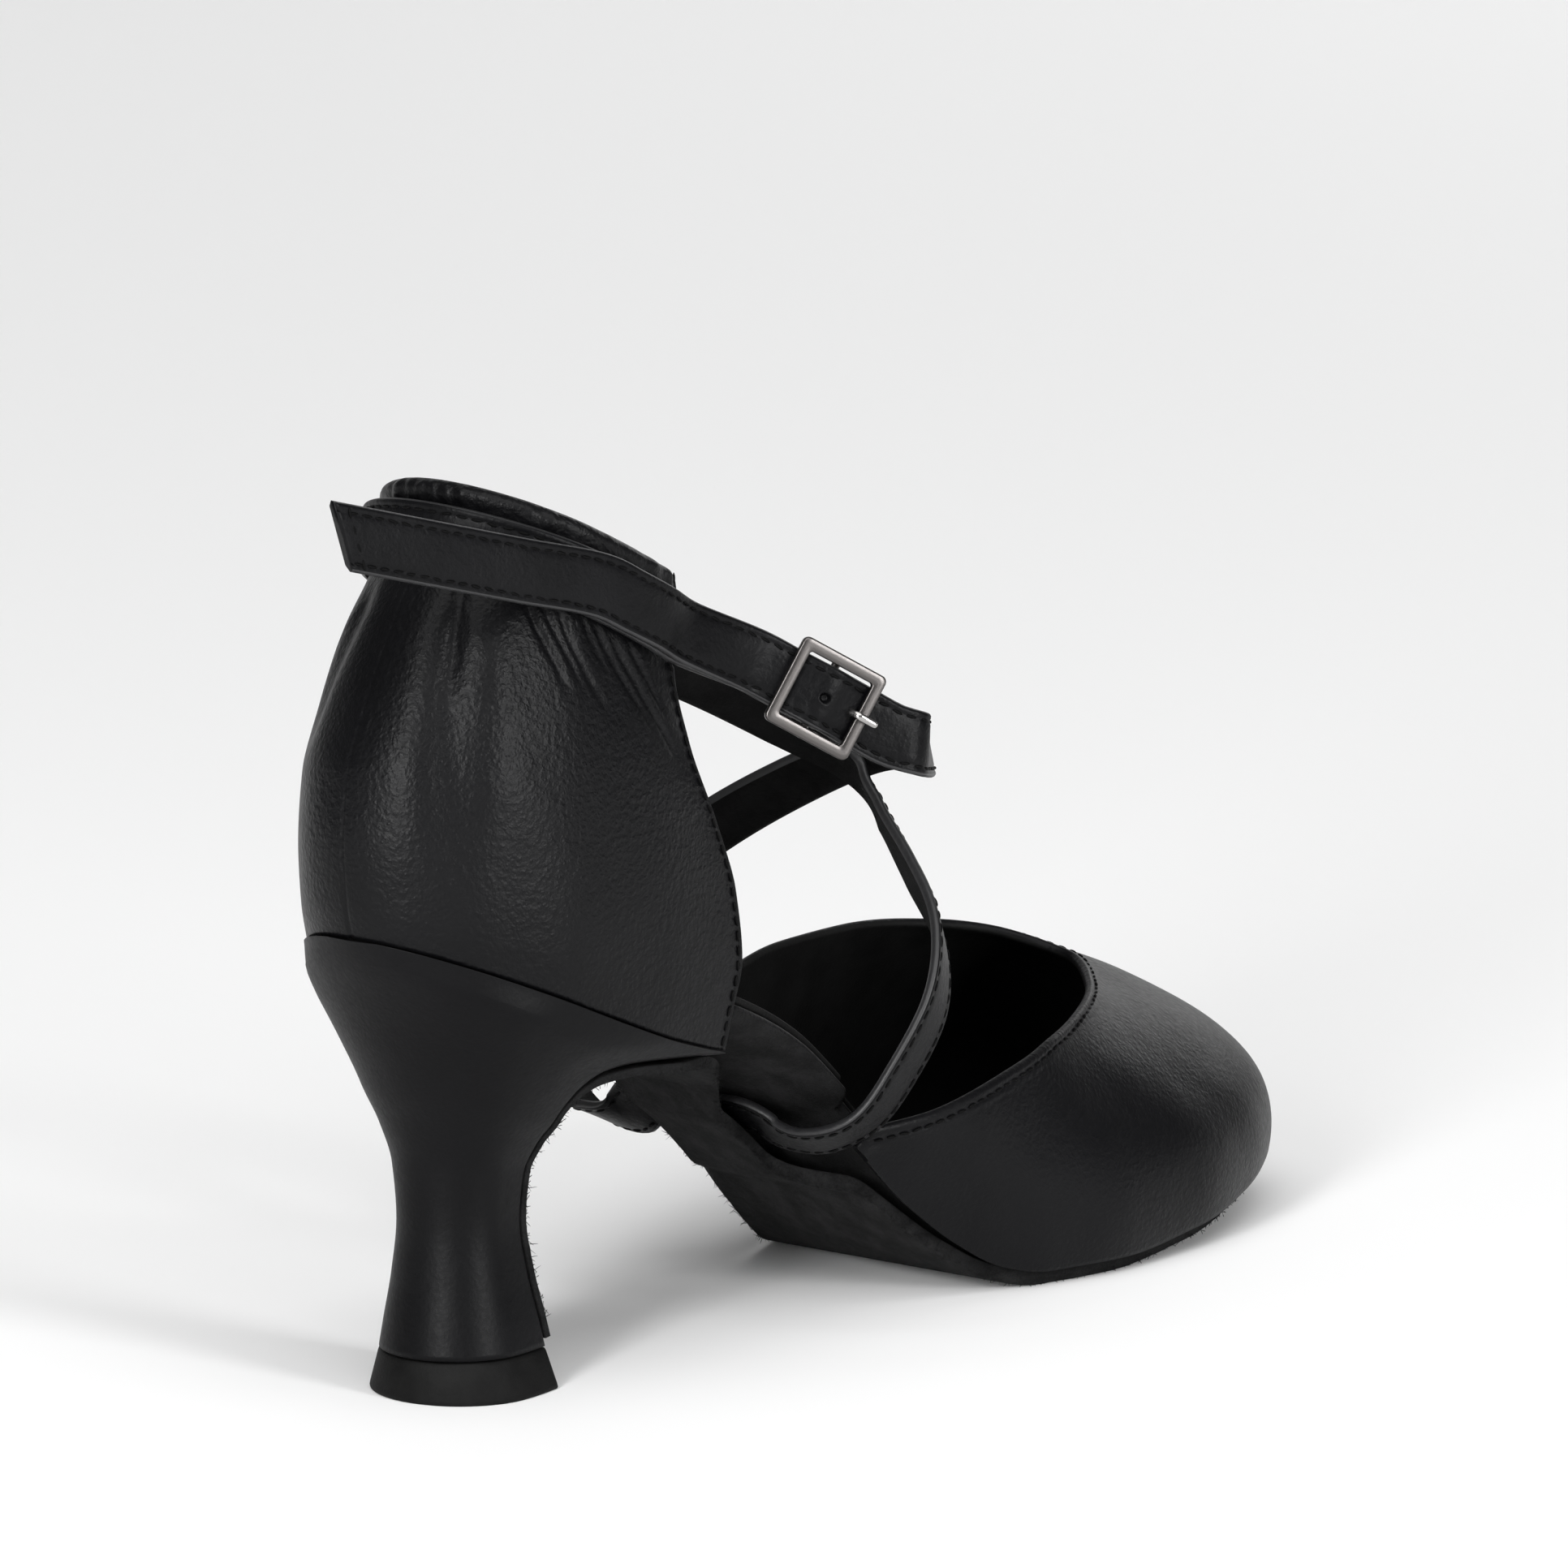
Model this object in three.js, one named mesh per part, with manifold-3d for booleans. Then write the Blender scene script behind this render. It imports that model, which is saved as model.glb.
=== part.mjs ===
// A woman's dance shoe for the right foot, EU size 36: closed toe, open waist, tall heel cup, flared heel
// and one long strap that runs through the waist, crosses over the instep and buckles round the ankle.
// Millimetres. +X points to the toe, +Y to the inner (big toe) side, +Z up.
// The origin is the centre of the heel's top lift, on the floor.
import * as THREE from "three";
import { mergeVertices } from "three/addons/utils/BufferGeometryUtils.js";
import Module from "manifold-3d";

// Driving dimensions of the last
const shoeLength = 217.5; // along the floor, from the rear of the seat to the tip of the toe
const heelOverhang = 22.6; // from the lift's centre back to the rear of the seat
const heelHeight = 75; // floor to the feather line at the rear
const ballWidth = 67; // across the feather line at the ball
const toeSpring = 9.5; // how far the toe's feather line rises above the ball's
const waistCurl = 8; // how far the edges of the insole curl up at the waist
const toplineHeight = 50; // floor to the highest point of the vamp's opening

// Walls, layers and clearance
const clearance = 0.3; // between pieces that lie against each other
const upperWall = 1.5; // leather and lining of the vamp
const counterWall = 2.2; // leather, stiffener and lining of the heel cup
const boardThickness = 2.6; // leather covered insole board
const sockThickness = 1.4; // padded sock that the foot rests on
const soleThickness = 2.8; // suede outsole
const breastCover = 1.4; // suede that runs down the front of the heel

// Heel cup
const cupHeight = 71; // feather line to collar at the rear
const collarDrop = 20; // how much lower the collar ends at its front corners
const cupLength = 63; // rear of the seat to the cup's front edge

// Heel and lift
const liftHeight = 6.5;
const liftWidth = 28.4;
const liftLength = 22.6;
const liftFlare = 2; // how far the lift's foot stands out beyond its top, on each side
const heelRim = 0.5; // how far the heel's upper rim stands out beyond the heel cup

// Strap and buckle
const strapWidth = 10;
const strapThickness = 1.6;
const loopReach = 45; // how far the strap's loop swings out to the outer side
const tunnelPosition = 90; // rear of the seat to the place where the strap runs through the sole
const freeEnd = 51; // how far the strap's end runs on behind the buckle's side of the cup
const frameLength = 15.2;
const frameWidth = 14.6;
const frameBar = 1.9;
const frameThickness = 1.2;
const pinRadius = 0.7; // of the buckle's middle bar
const pinDepth = 3.1; // how far that bar lies under the frame
const prongRadius = 0.5;

// Colours
const leather = { color: 0x17181b, roughness: 0.42, metalness: 0 };
const suede = { color: 0x151515, roughness: 0.95, metalness: 0 };
const rubber = { color: 0x1b1b1c, roughness: 0.8, metalness: 0 };
const gunmetal = { color: 0x8b8682, roughness: 0.28, metalness: 1 };

// Bottom of the last, a row for each station along its length. rise is a share of heelHeight above the
// ball and spring a share of toeSpring. lateral and medial are half widths as shares of ballWidth.
const lastBottom = [
  { along: 0, rise: 1, spring: 0, lateral: 0, medial: 0 },
  { along: 0.02, rise: 0.973, spring: 0, lateral: 0.176, medial: 0.176 },
  { along: 0.06, rise: 0.919, spring: 0, lateral: 0.288, medial: 0.288 },
  { along: 0.12, rise: 0.838, spring: 0, lateral: 0.359, medial: 0.356 },
  { along: 0.2, rise: 0.73, spring: 0, lateral: 0.38, medial: 0.364 },
  { along: 0.26, rise: 0.655, spring: 0, lateral: 0.366, medial: 0.33 },
  { along: 0.3, rise: 0.606, spring: 0, lateral: 0.35, medial: 0.285 },
  { along: 0.35, rise: 0.545, spring: 0, lateral: 0.321, medial: 0.24 },
  { along: 0.39, rise: 0.482, spring: 0, lateral: 0.308, medial: 0.214 },
  { along: 0.435, rise: 0.376, spring: 0, lateral: 0.304, medial: 0.206 },
  { along: 0.47, rise: 0.278, spring: 0, lateral: 0.312, medial: 0.22 },
  { along: 0.5, rise: 0.195, spring: 0, lateral: 0.33, medial: 0.245 },
  { along: 0.545, rise: 0.09, spring: 0, lateral: 0.366, medial: 0.285 },
  { along: 0.585, rise: 0.022, spring: 0, lateral: 0.41, medial: 0.33 },
  { along: 0.62, rise: 0, spring: 0, lateral: 0.455, medial: 0.378 },
  { along: 0.7, rise: 0, spring: 0, lateral: 0.507, medial: 0.455 },
  { along: 0.78, rise: 0, spring: 0.16, lateral: 0.508, medial: 0.49 },
  { along: 0.86, rise: 0, spring: 0.4, lateral: 0.455, medial: 0.465 },
  { along: 0.92, rise: 0, spring: 0.64, lateral: 0.375, medial: 0.39 },
  { along: 0.964, rise: 0, spring: 0.83, lateral: 0.275, medial: 0.29 },
  { along: 0.985, rise: 0, spring: 0.93, lateral: 0.19, medial: 0.2 },
  { along: 1, rise: 0, spring: 1, lateral: 0, medial: 0 },
];

// How the waist is covered. curl and seat are shares of waistCurl, for the insole's edge and for what lies
// under it. lateral and medial are the parts of the half widths that the outsole covers.
const waist = [
  { along: 0, curl: 0, seat: 0, lateral: 0.7, medial: 0.7 },
  { along: 0.12, curl: 0, seat: 0, lateral: 0.7, medial: 0.7 },
  { along: 0.2, curl: 0.2, seat: 0.05, lateral: 0.7, medial: 0.7 },
  { along: 0.26, curl: 0.7, seat: 0.18, lateral: 0.75, medial: 0.8 },
  { along: 0.3, curl: 1, seat: 0.3, lateral: 0.8, medial: 0.88 },
  { along: 0.35, curl: 0.97, seat: 0.26, lateral: 0.5, medial: 0.89 },
  { along: 0.39, curl: 0.93, seat: 0.18, lateral: 0.27, medial: 0.9 },
  { along: 0.435, curl: 0.9, seat: 0.1, lateral: 0.27, medial: 0.92 },
  { along: 0.47, curl: 0.82, seat: 0.05, lateral: 0.78, medial: 0.95 },
  { along: 0.5, curl: 0.7, seat: 0, lateral: 0.92, medial: 0.97 },
  { along: 0.545, curl: 0.4, seat: 0, lateral: 0.96, medial: 0.98 },
  { along: 0.585, curl: 0.15, seat: 0, lateral: 0.98, medial: 0.98 },
  { along: 0.62, curl: 0, seat: 0, lateral: 0.98, medial: 0.98 },
  { along: 1, curl: 0, seat: 0, lateral: 0.98, medial: 0.98 },
];
const vampBack = 0.448; // share of the length where the vamp ends at the waist

// Edge of the vamp's opening, from the outer end (at -1) over the toe (0) to the inner end (1). along,
// across and level are shares of shoeLength, ballWidth and toplineHeight. slope is the surface's angle
// at the edge, foot and lean are the lengths of the curve's two handles and bulge how far the first
// leans out.
const vampEdge = [
  { at: -1, along: 0.452, across: -0.336, level: 0.63, slope: 85, foot: 0.3, lean: 0.3, bulge: 0 },
  { at: -0.92, along: 0.504, across: -0.395, level: 0.656, slope: 80, foot: 0.3, lean: 0.3, bulge: 0.06 },
  { at: -0.85, along: 0.551, across: -0.418, level: 0.7, slope: 75, foot: 0.32, lean: 0.32, bulge: 0.08 },
  { at: -0.75, along: 0.606, across: -0.41, level: 0.746, slope: 66, foot: 0.36, lean: 0.34, bulge: 0.1 },
  { at: -0.65, along: 0.652, across: -0.38, level: 0.78, slope: 58, foot: 0.38, lean: 0.34, bulge: 0.12 },
  { at: -0.45, along: 0.721, across: -0.291, level: 0.8, slope: 38, foot: 0.37, lean: 0.34, bulge: 0.1 },
  { at: -0.25, along: 0.785, across: -0.164, level: 0.812, slope: 22, foot: 0.34, lean: 0.34, bulge: 0.06 },
  { at: 0, along: 0.835, across: 0.03, level: 0.845, slope: 17, foot: 0.3, lean: 0.34, bulge: 0.04 },
  { at: 0.25, along: 0.815, across: 0.164, level: 0.905, slope: 22, foot: 0.34, lean: 0.34, bulge: 0.06 },
  { at: 0.45, along: 0.771, across: 0.269, level: 0.955, slope: 38, foot: 0.38, lean: 0.34, bulge: 0.1 },
  { at: 0.65, along: 0.693, across: 0.336, level: 0.99, slope: 60, foot: 0.38, lean: 0.34, bulge: 0.12 },
  { at: 0.75, along: 0.624, across: 0.351, level: 0.985, slope: 68, foot: 0.36, lean: 0.34, bulge: 0.1 },
  { at: 0.85, along: 0.56, across: 0.336, level: 0.945, slope: 75, foot: 0.32, lean: 0.32, bulge: 0.08 },
  { at: 0.92, along: 0.505, across: 0.299, level: 0.85, slope: 80, foot: 0.3, lean: 0.3, bulge: 0.06 },
  { at: 1, along: 0.45, across: 0.23, level: 0.66, slope: 85, foot: 0.3, lean: 0.3, bulge: 0 },
];

// Heel cup, a row for each level. back and front are shares of cupLength forward of the seat's rear,
// lateral and medial scale the last's half widths.
const cupLevels = [
  { rise: 0, back: 0, front: 0.975, lateral: 1, medial: 1 },
  { rise: 0.08, back: -0.02, front: 0.99, lateral: 1.03, medial: 1.02 },
  { rise: 0.2, back: -0.03, front: 1.02, lateral: 1.05, medial: 1.04 },
  { rise: 0.35, back: -0.01, front: 1, lateral: 1.04, medial: 1.03 },
  { rise: 0.5, back: 0.06, front: 0.94, lateral: 1, medial: 0.98 },
  { rise: 0.65, back: 0.155, front: 0.87, lateral: 0.93, medial: 0.9 },
  { rise: 0.78, back: 0.25, front: 0.845, lateral: 0.86, medial: 0.83 },
  { rise: 0.87, back: 0.295, front: 0.85, lateral: 0.83, medial: 0.8 },
  { rise: 0.94, back: 0.3, front: 0.87, lateral: 0.84, medial: 0.81 },
  { rise: 1, back: 0.32, front: 0.87, lateral: 0.82, medial: 0.79 },
];

// Heel block, a row for each level from the lift to the seat. waist scales the lift's top outline, flare
// and reach blend the back and the front into the seat's, and tilt turns the level into the seat's slope.
const heelLevels = [
  { level: 0, waist: 1, flare: 0, reach: 0, tilt: 0 },
  { level: 0.08, waist: 0.93, flare: 0, reach: 0, tilt: 0 },
  { level: 0.2, waist: 0.82, flare: 0, reach: 0, tilt: 0.02 },
  { level: 0.35, waist: 0.74, flare: 0, reach: 0, tilt: 0.06 },
  { level: 0.5, waist: 0.77, flare: 0.02, reach: 0, tilt: 0.16 },
  { level: 0.6, waist: 0.87, flare: 0.07, reach: 0, tilt: 0.26 },
  { level: 0.7, waist: 0.98, flare: 0.19, reach: 0.01, tilt: 0.38 },
  { level: 0.8, waist: 1, flare: 0.38, reach: 0.04, tilt: 0.5 },
  { level: 0.9, waist: 1, flare: 0.63, reach: 0.14, tilt: 0.62 },
  { level: 0.96, waist: 1, flare: 0.83, reach: 0.36, tilt: 0.76 },
  { level: 1, waist: 1, flare: 1, reach: 1, tilt: 1 },
];

// Value of one named column of a table at a place given in its first column, on a smooth curve that
// doesn't overshoot its rows.
function read(table, column, at) {
  const key = Object.keys(table[0])[0];
  const last = table.length - 1;
  if (at <= table[0][key]) return table[0][column];
  if (at >= table[last][key]) return table[last][column];
  const slope = (i) => (table[i + 1][column] - table[i][column]) / (table[i + 1][key] - table[i][key]);
  const tangent = (i) => {
    if (i === 0) return slope(0);
    if (i === last) return slope(last - 1);
    const before = slope(i - 1);
    const after = slope(i);
    return before * after <= 0 ? 0 : (2 * before * after) / (before + after);
  };
  const i = table.findIndex((row, n) => n < last && at < table[n + 1][key]);
  const span = table[i + 1][key] - table[i][key];
  const t = (at - table[i][key]) / span;
  const rise = t * t * (3 - 2 * t);
  return (
    table[i][column] * (1 - rise) +
    table[i + 1][column] * rise +
    span * (tangent(i) * t * (1 - t) * (1 - t) - tangent(i + 1) * t * t * (1 - t))
  );
}

// The outline read along an angle instead of a length, which keeps both of its ends round.
const turnOf = (share) => Math.acos(1 - 2 * THREE.MathUtils.clamp(share, 0, 1)) / Math.PI;
const shareOf = (turn) => (1 - Math.cos(Math.PI * turn)) / 2;
const outline = lastBottom.map(({ along, lateral, medial }) => ({ turn: turnOf(along), lateral, medial }));

const rearX = -heelOverhang;
const xAt = (share) => rearX + share * shoeLength;
const shareAt = (x) => (x - rearX) / shoeLength;
const ballLevel = soleThickness + clearance;
const sideName = (side) => (side < 0 ? "lateral" : "medial");
const vector = (x, y, z) => new THREE.Vector3(x, y, z);

// Height of the board's underside on the shoe's axis, its half width on a side and the curl of its edge.
function boardHeight(x) {
  const share = shareAt(x);
  const rise = read(lastBottom, "rise", share) * (heelHeight - ballLevel);
  return ballLevel + rise + read(lastBottom, "spring", share) * toeSpring;
}
const halfWidth = (x, side) => ballWidth * read(outline, sideName(side), turnOf(shareAt(x)));
function bottomHeight(x, y, column) {
  const half = Math.max(halfWidth(x, Math.sign(y) || 1), 1);
  const curl = waistCurl * read(waist, column, shareAt(x));
  return boardHeight(x) + curl * Math.min(Math.abs(y / half), 1.15) ** 2;
}
const boardUnderside = (x, y) => bottomHeight(x, y, "curl");
const seatHeight = (x, y) => bottomHeight(x, y, "seat");

// A point of the feather line seen from above, moved inwards by an inset.
function featherPoint(turn, side, inset = 0) {
  const at = (t) => new THREE.Vector2(xAt(shareOf(t)), side * ballWidth * read(outline, sideName(side), t));
  const step = 1e-3;
  const before = at(Math.max(turn - step, 0));
  const tangent = at(Math.min(turn + step, 1)).sub(before).normalize();
  const inward = new THREE.Vector2(tangent.y, -tangent.x).multiplyScalar(side);
  if (turn <= 0) inward.set(1, 0);
  if (turn >= 1) inward.set(-1, 0);
  return at(turn).addScaledVector(inward, inset);
}

// Closed surface of a block of points with three indices. Sides that collapse to a line or a point close up.
function block(ni, nj, nk, pointAt) {
  const positions = [];
  const quad = (a, b, c, d) => positions.push(...a, ...b, ...c, ...a, ...c, ...d);
  const memo = new Map();
  const p = (i, j, k) => {
    const key = `${i},${j},${k}`;
    if (!memo.has(key)) memo.set(key, pointAt(i, j, k).toArray());
    return memo.get(key);
  };
  for (let i = 0; i < ni; i++)
    for (let j = 0; j < nj; j++) {
      quad(p(i, j, 0), p(i, j + 1, 0), p(i + 1, j + 1, 0), p(i + 1, j, 0));
      quad(p(i, j, nk), p(i + 1, j, nk), p(i + 1, j + 1, nk), p(i, j + 1, nk));
    }
  for (let i = 0; i < ni; i++)
    for (let k = 0; k < nk; k++) {
      quad(p(i, 0, k), p(i + 1, 0, k), p(i + 1, 0, k + 1), p(i, 0, k + 1));
      quad(p(i, nj, k), p(i, nj, k + 1), p(i + 1, nj, k + 1), p(i + 1, nj, k));
    }
  for (let j = 0; j < nj; j++)
    for (let k = 0; k < nk; k++) {
      quad(p(0, j, k), p(0, j, k + 1), p(0, j + 1, k + 1), p(0, j + 1, k));
      quad(p(ni, j, k), p(ni, j + 1, k), p(ni, j + 1, k + 1), p(ni, j, k + 1));
    }
  return closedGeometry(positions);
}

// Welds loose triangles, drops the ones that collapsed and turns the surface outwards.
function closedGeometry(positions) {
  const loose = new THREE.BufferGeometry().setAttribute(
    "position",
    new THREE.Float32BufferAttribute(positions, 3),
  );
  const welded = mergeVertices(loose, 2e-3);
  const corner = (n) => new THREE.Vector3().fromBufferAttribute(welded.attributes.position, n);
  const index = [];
  let volume = 0;
  for (let i = 0; i < welded.index.count; i += 3) {
    const [a, b, c] = [0, 1, 2].map((n) => welded.index.getX(i + n));
    if (a === b || b === c || c === a) continue;
    index.push(a, b, c);
    volume += corner(a).dot(corner(b).cross(corner(c)));
  }
  if (volume < 0) index.reverse();
  welded.setIndex(index);
  return welded;
}

// Unit normal of a surface over two shares, by small steps that stay inside it.
function normalOf(surface, u, v, low = 0, high = 1) {
  const step = 2e-3;
  const along = surface(Math.min(u + step, high), v).sub(surface(Math.max(u - step, low), v));
  const up = surface(u, Math.min(v + step, 1)).sub(surface(u, Math.max(v - step, 0)));
  return along.cross(up).normalize();
}

// Vamp: each curve starts upright on the feather line and ends on the edge of the opening.
function vampSurface(around, up) {
  const side = around < 0 ? -1 : 1;
  const turn = 1 - Math.abs(around) * (1 - turnOf(vampBack));
  const plan = featherPoint(turn, side);
  const planIn = featherPoint(turn, side, 1);
  const row = (column) => read(vampEdge, column, around);
  const start = vector(plan.x, plan.y, seatHeight(plan.x, plan.y));
  const end = vector(xAt(row("along")), ballWidth * row("across"), toplineHeight * row("level"));
  const span = start.distanceTo(end);
  const outward = vector(plan.x - planIn.x, plan.y - planIn.y, 0);
  const towards = vector(start.x - end.x, start.y - end.y, 0);
  const mix = THREE.MathUtils.smoothstep(Math.abs(around), 0.7, 0.95);
  const slopeWay = towards.lerp(outward.clone().multiplyScalar(towards.length()), mix).normalize();
  const slope = THREE.MathUtils.degToRad(row("slope"));
  const first = start
    .clone()
    .add(vector(0, 0, span * row("foot")))
    .addScaledVector(outward, span * row("bulge"));
  const second = end
    .clone()
    .addScaledVector(slopeWay, span * row("lean") * Math.cos(slope))
    .add(vector(0, 0, -span * row("lean") * Math.sin(slope)));
  return new THREE.CubicBezierCurve3(start, first, second, end).getPoint(up);
}
const vampAround = 40;
const vampRows = 9;
const vamp = block(vampAround, vampRows, 1, (i, j, k) => {
  const u = (2 * i) / vampAround - 1;
  const v = j / vampRows;
  return vampSurface(u, v).addScaledVector(normalOf(vampSurface, u, v, -1), k * upperWall);
});

// Heel cup: the seat's outline, carried up through the levels to the collar.
function cupSurface(around, rise) {
  const side = around < 0 ? -1 : 1;
  const level = (column) => read(cupLevels, column, rise);
  const footFront = cupLevels[0].front * cupLength;
  const turn = Math.abs(around) * turnOf(footFront / shoeLength);
  const plan = featherPoint(turn, side);
  const forward = (plan.x - rearX) / footFront;
  const x = rearX + cupLength * (level("back") + (level("front") - level("back")) * forward);
  const y = plan.y * level(sideName(side));
  const foot = seatHeight(plan.x, plan.y);
  const forwardOfBack = (x - rearX - 0.24 * cupLength) / (0.63 * cupLength);
  const drop = collarDrop * THREE.MathUtils.clamp(forwardOfBack, 0, 1.3);
  return vector(x, y, foot + rise * (heelHeight + cupHeight - drop - foot));
}
const cupAround = 30;
const cupRows = 12;
const heelCup = block(cupAround, cupRows, 1, (i, j, k) => {
  const u = (2 * i) / cupAround - 1;
  const v = j / cupRows;
  return cupSurface(u, v).addScaledVector(normalOf(cupSurface, u, v, -1), k * counterWall);
});
const cupFrontX = rearX + cupLevels[0].front * cupLength;

// A plate that follows the bottom of the last. It fills the waist to its full width and steps in behind
// the walls of the heel cup and the vamp.
function bottomPlate({ base, thickness, margin, stations, across }) {
  const cupStep = turnOf(shareAt(cupFrontX + 1.4 + margin));
  const vampStep = turnOf(vampBack - 0.006 - margin / shoeLength);
  const turns = Array.from({ length: stations + 1 }, (_, i) => i / stations);
  const near = (t, step) => Math.abs(t - step) < 0.4 / stations;
  const kept = turns.filter((t) => !near(t, cupStep) && !near(t, vampStep));
  const rows = kept.map((turn) => ({ turn, wide: turn > cupStep && turn < vampStep }));
  rows.push({ turn: cupStep, wide: false }, { turn: cupStep + 1e-4, wide: true });
  rows.push({ turn: vampStep - 1e-4, wide: true }, { turn: vampStep, wide: false });
  rows.sort((a, b) => a.turn - b.turn);
  const insetOf = ({ turn, wide }) =>
    margin + (wide ? 0 : clearance + (turn < 0.5 * (cupStep + vampStep) ? counterWall : upperWall));
  return block(rows.length - 1, across, 1, (i, j, k) => {
    const share = j / across;
    const outer = featherPoint(rows[i].turn, -1, insetOf(rows[i]));
    const inner = featherPoint(rows[i].turn, 1, insetOf(rows[i]));
    const plan = outer.lerp(inner, share);
    if (i === 0 || i === rows.length - 1) plan.y = 0;
    return vector(plan.x, plan.y, boardUnderside(plan.x, plan.y) + base + k * thickness);
  });
}
const board = bottomPlate({ base: 0, thickness: boardThickness, margin: 0, stations: 34, across: 6 });
const sock = bottomPlate({
  base: boardThickness + clearance,
  thickness: sockThickness,
  margin: 0.6,
  stations: 34,
  across: 6,
});

// Heel block: round at the back, straight at the breast, from the lift's top to the seat.
const liftTopWidth = liftWidth - 2 * liftFlare;
const liftTopLength = liftLength - 1.2 * liftFlare;
const roundPart = 0.6;
function lengthwise(t) {
  return t < roundPart ? Math.sqrt(1 - (1 - t / roundPart) ** 2) : 1 - 0.4 * (t - roundPart) ** 2;
}
const breastTop = cupFrontX + 1.5;
function heelPoint(t, place, level) {
  const row = (column) => read(heelLevels, column, level);
  const seatBack = rearX - heelRim;
  const back = (-row("waist") * liftTopLength * (1 - row("flare"))) / 2 + seatBack * row("flare");
  const front = (row("waist") * liftTopLength * (1 - row("reach"))) / 2 + breastTop * row("reach");
  const x = back + (front - back) * t;
  const seatX = seatBack + (breastTop - seatBack) * t;
  const side = place < 0 ? -1 : 1;
  const rim = heelRim * THREE.MathUtils.clamp((breastTop - seatX) / 4, 0, 1);
  const seatHalf = halfWidth(Math.max(seatX + rim * Math.max(1 - 4 * t, 0), rearX), side) + rim;
  const liftHalf = (row("waist") * liftTopWidth * lengthwise(t)) / 2;
  const half = THREE.MathUtils.lerp(liftHalf, seatHalf, row("flare"));
  const y = place * (t <= 0 ? 0 : half);
  const foot = liftHeight + clearance;
  const flat = foot + level * (boardHeight(0) - clearance - foot);
  const seatY = y * Math.min(1, seatHalf / Math.max(half, 1e-6));
  const tilted = foot + level * (seatHeight(seatX, seatY) - clearance - foot);
  return vector(x, y, THREE.MathUtils.lerp(flat, tilted, row("tilt")));
}
const heelStations = 12;
const heelRows = 16;
function roundStations(i, n) {
  const share = i / n;
  return 0.5 * (1 - Math.cos((Math.PI / 2) * Math.min(share * 1.5, 1))) + Math.max(share - 2 / 3, 0) * 1.5;
}
const heel = block(heelStations, 6, heelRows, (i, j, k) =>
  heelPoint(roundStations(i, heelStations), (2 * j) / 6 - 1, k / heelRows),
);
const lift = block(heelStations, 4, 1, (i, j, k) => {
  const t = roundStations(i, heelStations);
  const width = k === 0 ? liftWidth : liftTopWidth;
  const length = k === 0 ? liftLength : liftTopLength;
  return vector((t - 0.5) * length, ((2 * j) / 4 - 1) * (width / 2) * lengthwise(t), k * liftHeight);
});

// Outsole: along the bottom from the toe to the heel's breast, then down the breast. It drops where the
// strap runs through between it and the board.
const tunnelX = rearX + tunnelPosition;
const tunnelRoom = 0.45; // either side of the strap, for the curve of the board
const tunnelDrop = (x) =>
  1.4 *
  (strapThickness + clearance + 2 * tunnelRoom) *
  (1 - THREE.MathUtils.smoothstep(Math.abs(x - tunnelX), strapWidth / 2 + 1.5, strapWidth / 2 + 10));
const soleBack = breastTop + 1.2;
function soleUpperSide(path, place) {
  const side = place < 0 ? -1 : 1;
  if (path <= 1) {
    const turn = 1 - path * (1 - turnOf(shareAt(soleBack)));
    const covered = read(waist, sideName(side), shareOf(turn));
    const plan = featherPoint(turn, side, 0.5);
    const x = plan.x;
    const y = (path <= 0 ? 0 : Math.abs(place) * plan.y) * covered;
    return vector(x, y, seatHeight(x, y) - clearance - tunnelDrop(x));
  }
  const level = THREE.MathUtils.lerp(0.99, 0.015, (path - 1) ** 1.6);
  return heelPoint(1, place * 0.97, level);
}
const soleForward = 32;
const soleDown = 12;
const soleAcross = 6;
const outsole = block(soleForward + soleDown, soleAcross, 1, (i, j, k) => {
  const path = i <= soleForward ? i / soleForward : 1 + (i - soleForward) / soleDown;
  const place = (2 * j) / soleAcross - 1;
  const at = soleUpperSide(path, place);
  if (path <= 0.9) return at.add(vector(0, 0, -k * soleThickness));
  const step = 0.02;
  const behind = soleUpperSide(Math.min(path + step, 2), place * 0.9);
  const along = behind.sub(soleUpperSide(path - step, place * 0.9));
  const across = soleUpperSide(path, 0.5).sub(soleUpperSide(path, -0.5));
  const out = along.cross(across).normalize();
  if (out.z > 0 && out.x < 0) out.negate();
  const blend = THREE.MathUtils.smoothstep(path, 0.9, 1.15);
  const thick = THREE.MathUtils.lerp(soleThickness, breastCover, THREE.MathUtils.smoothstep(path, 0.85, 1.1));
  const gap = path > 1 ? clearance * (1 + 2 * (1 - THREE.MathUtils.smoothstep(path, 1.2, 1.5))) : 0;
  const down = vector(0, 0, -1).lerp(out, blend).normalize();
  return at.addScaledVector(down, gap + k * thick);
});

// Buckle: its middle bar is the origin of a local frame with u along the strap, v across it and w out of it.
const collarLevel = heelHeight + cupHeight;
const buckleAt = { along: 0.342, reach: -0.715, level: 0.722 };
const buckleWay = { u: [0.69, -0.52, -0.5], w: [-0.565, -0.823, 0.075] };
const uAxis = vector(...buckleWay.u).normalize();
const wAxis = vector(...buckleWay.w).addScaledVector(uAxis, -vector(...buckleWay.w).dot(uAxis)).normalize();
const vAxis = wAxis.clone().cross(uAxis);
const freePoint = ({ along, reach, level }) => vector(xAt(along), reach * loopReach, level * collarLevel);
const pinCentre = freePoint(buckleAt);
const fromBuckle = (u, w, v = 0) =>
  pinCentre.clone().addScaledVector(uAxis, u).addScaledVector(vAxis, v).addScaledVector(wAxis, w);
const skived = 1; // thickness of the strap where it turns round the bar
const loopRadius = pinRadius + clearance + skived / 2;
const underFrame = pinDepth - frameThickness / 2 - clearance - strapThickness / 2;
const overPin = loopRadius + skived / 2 + clearance + strapThickness / 2;
const barAway = (frameLength - frameBar) / 2;

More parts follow.
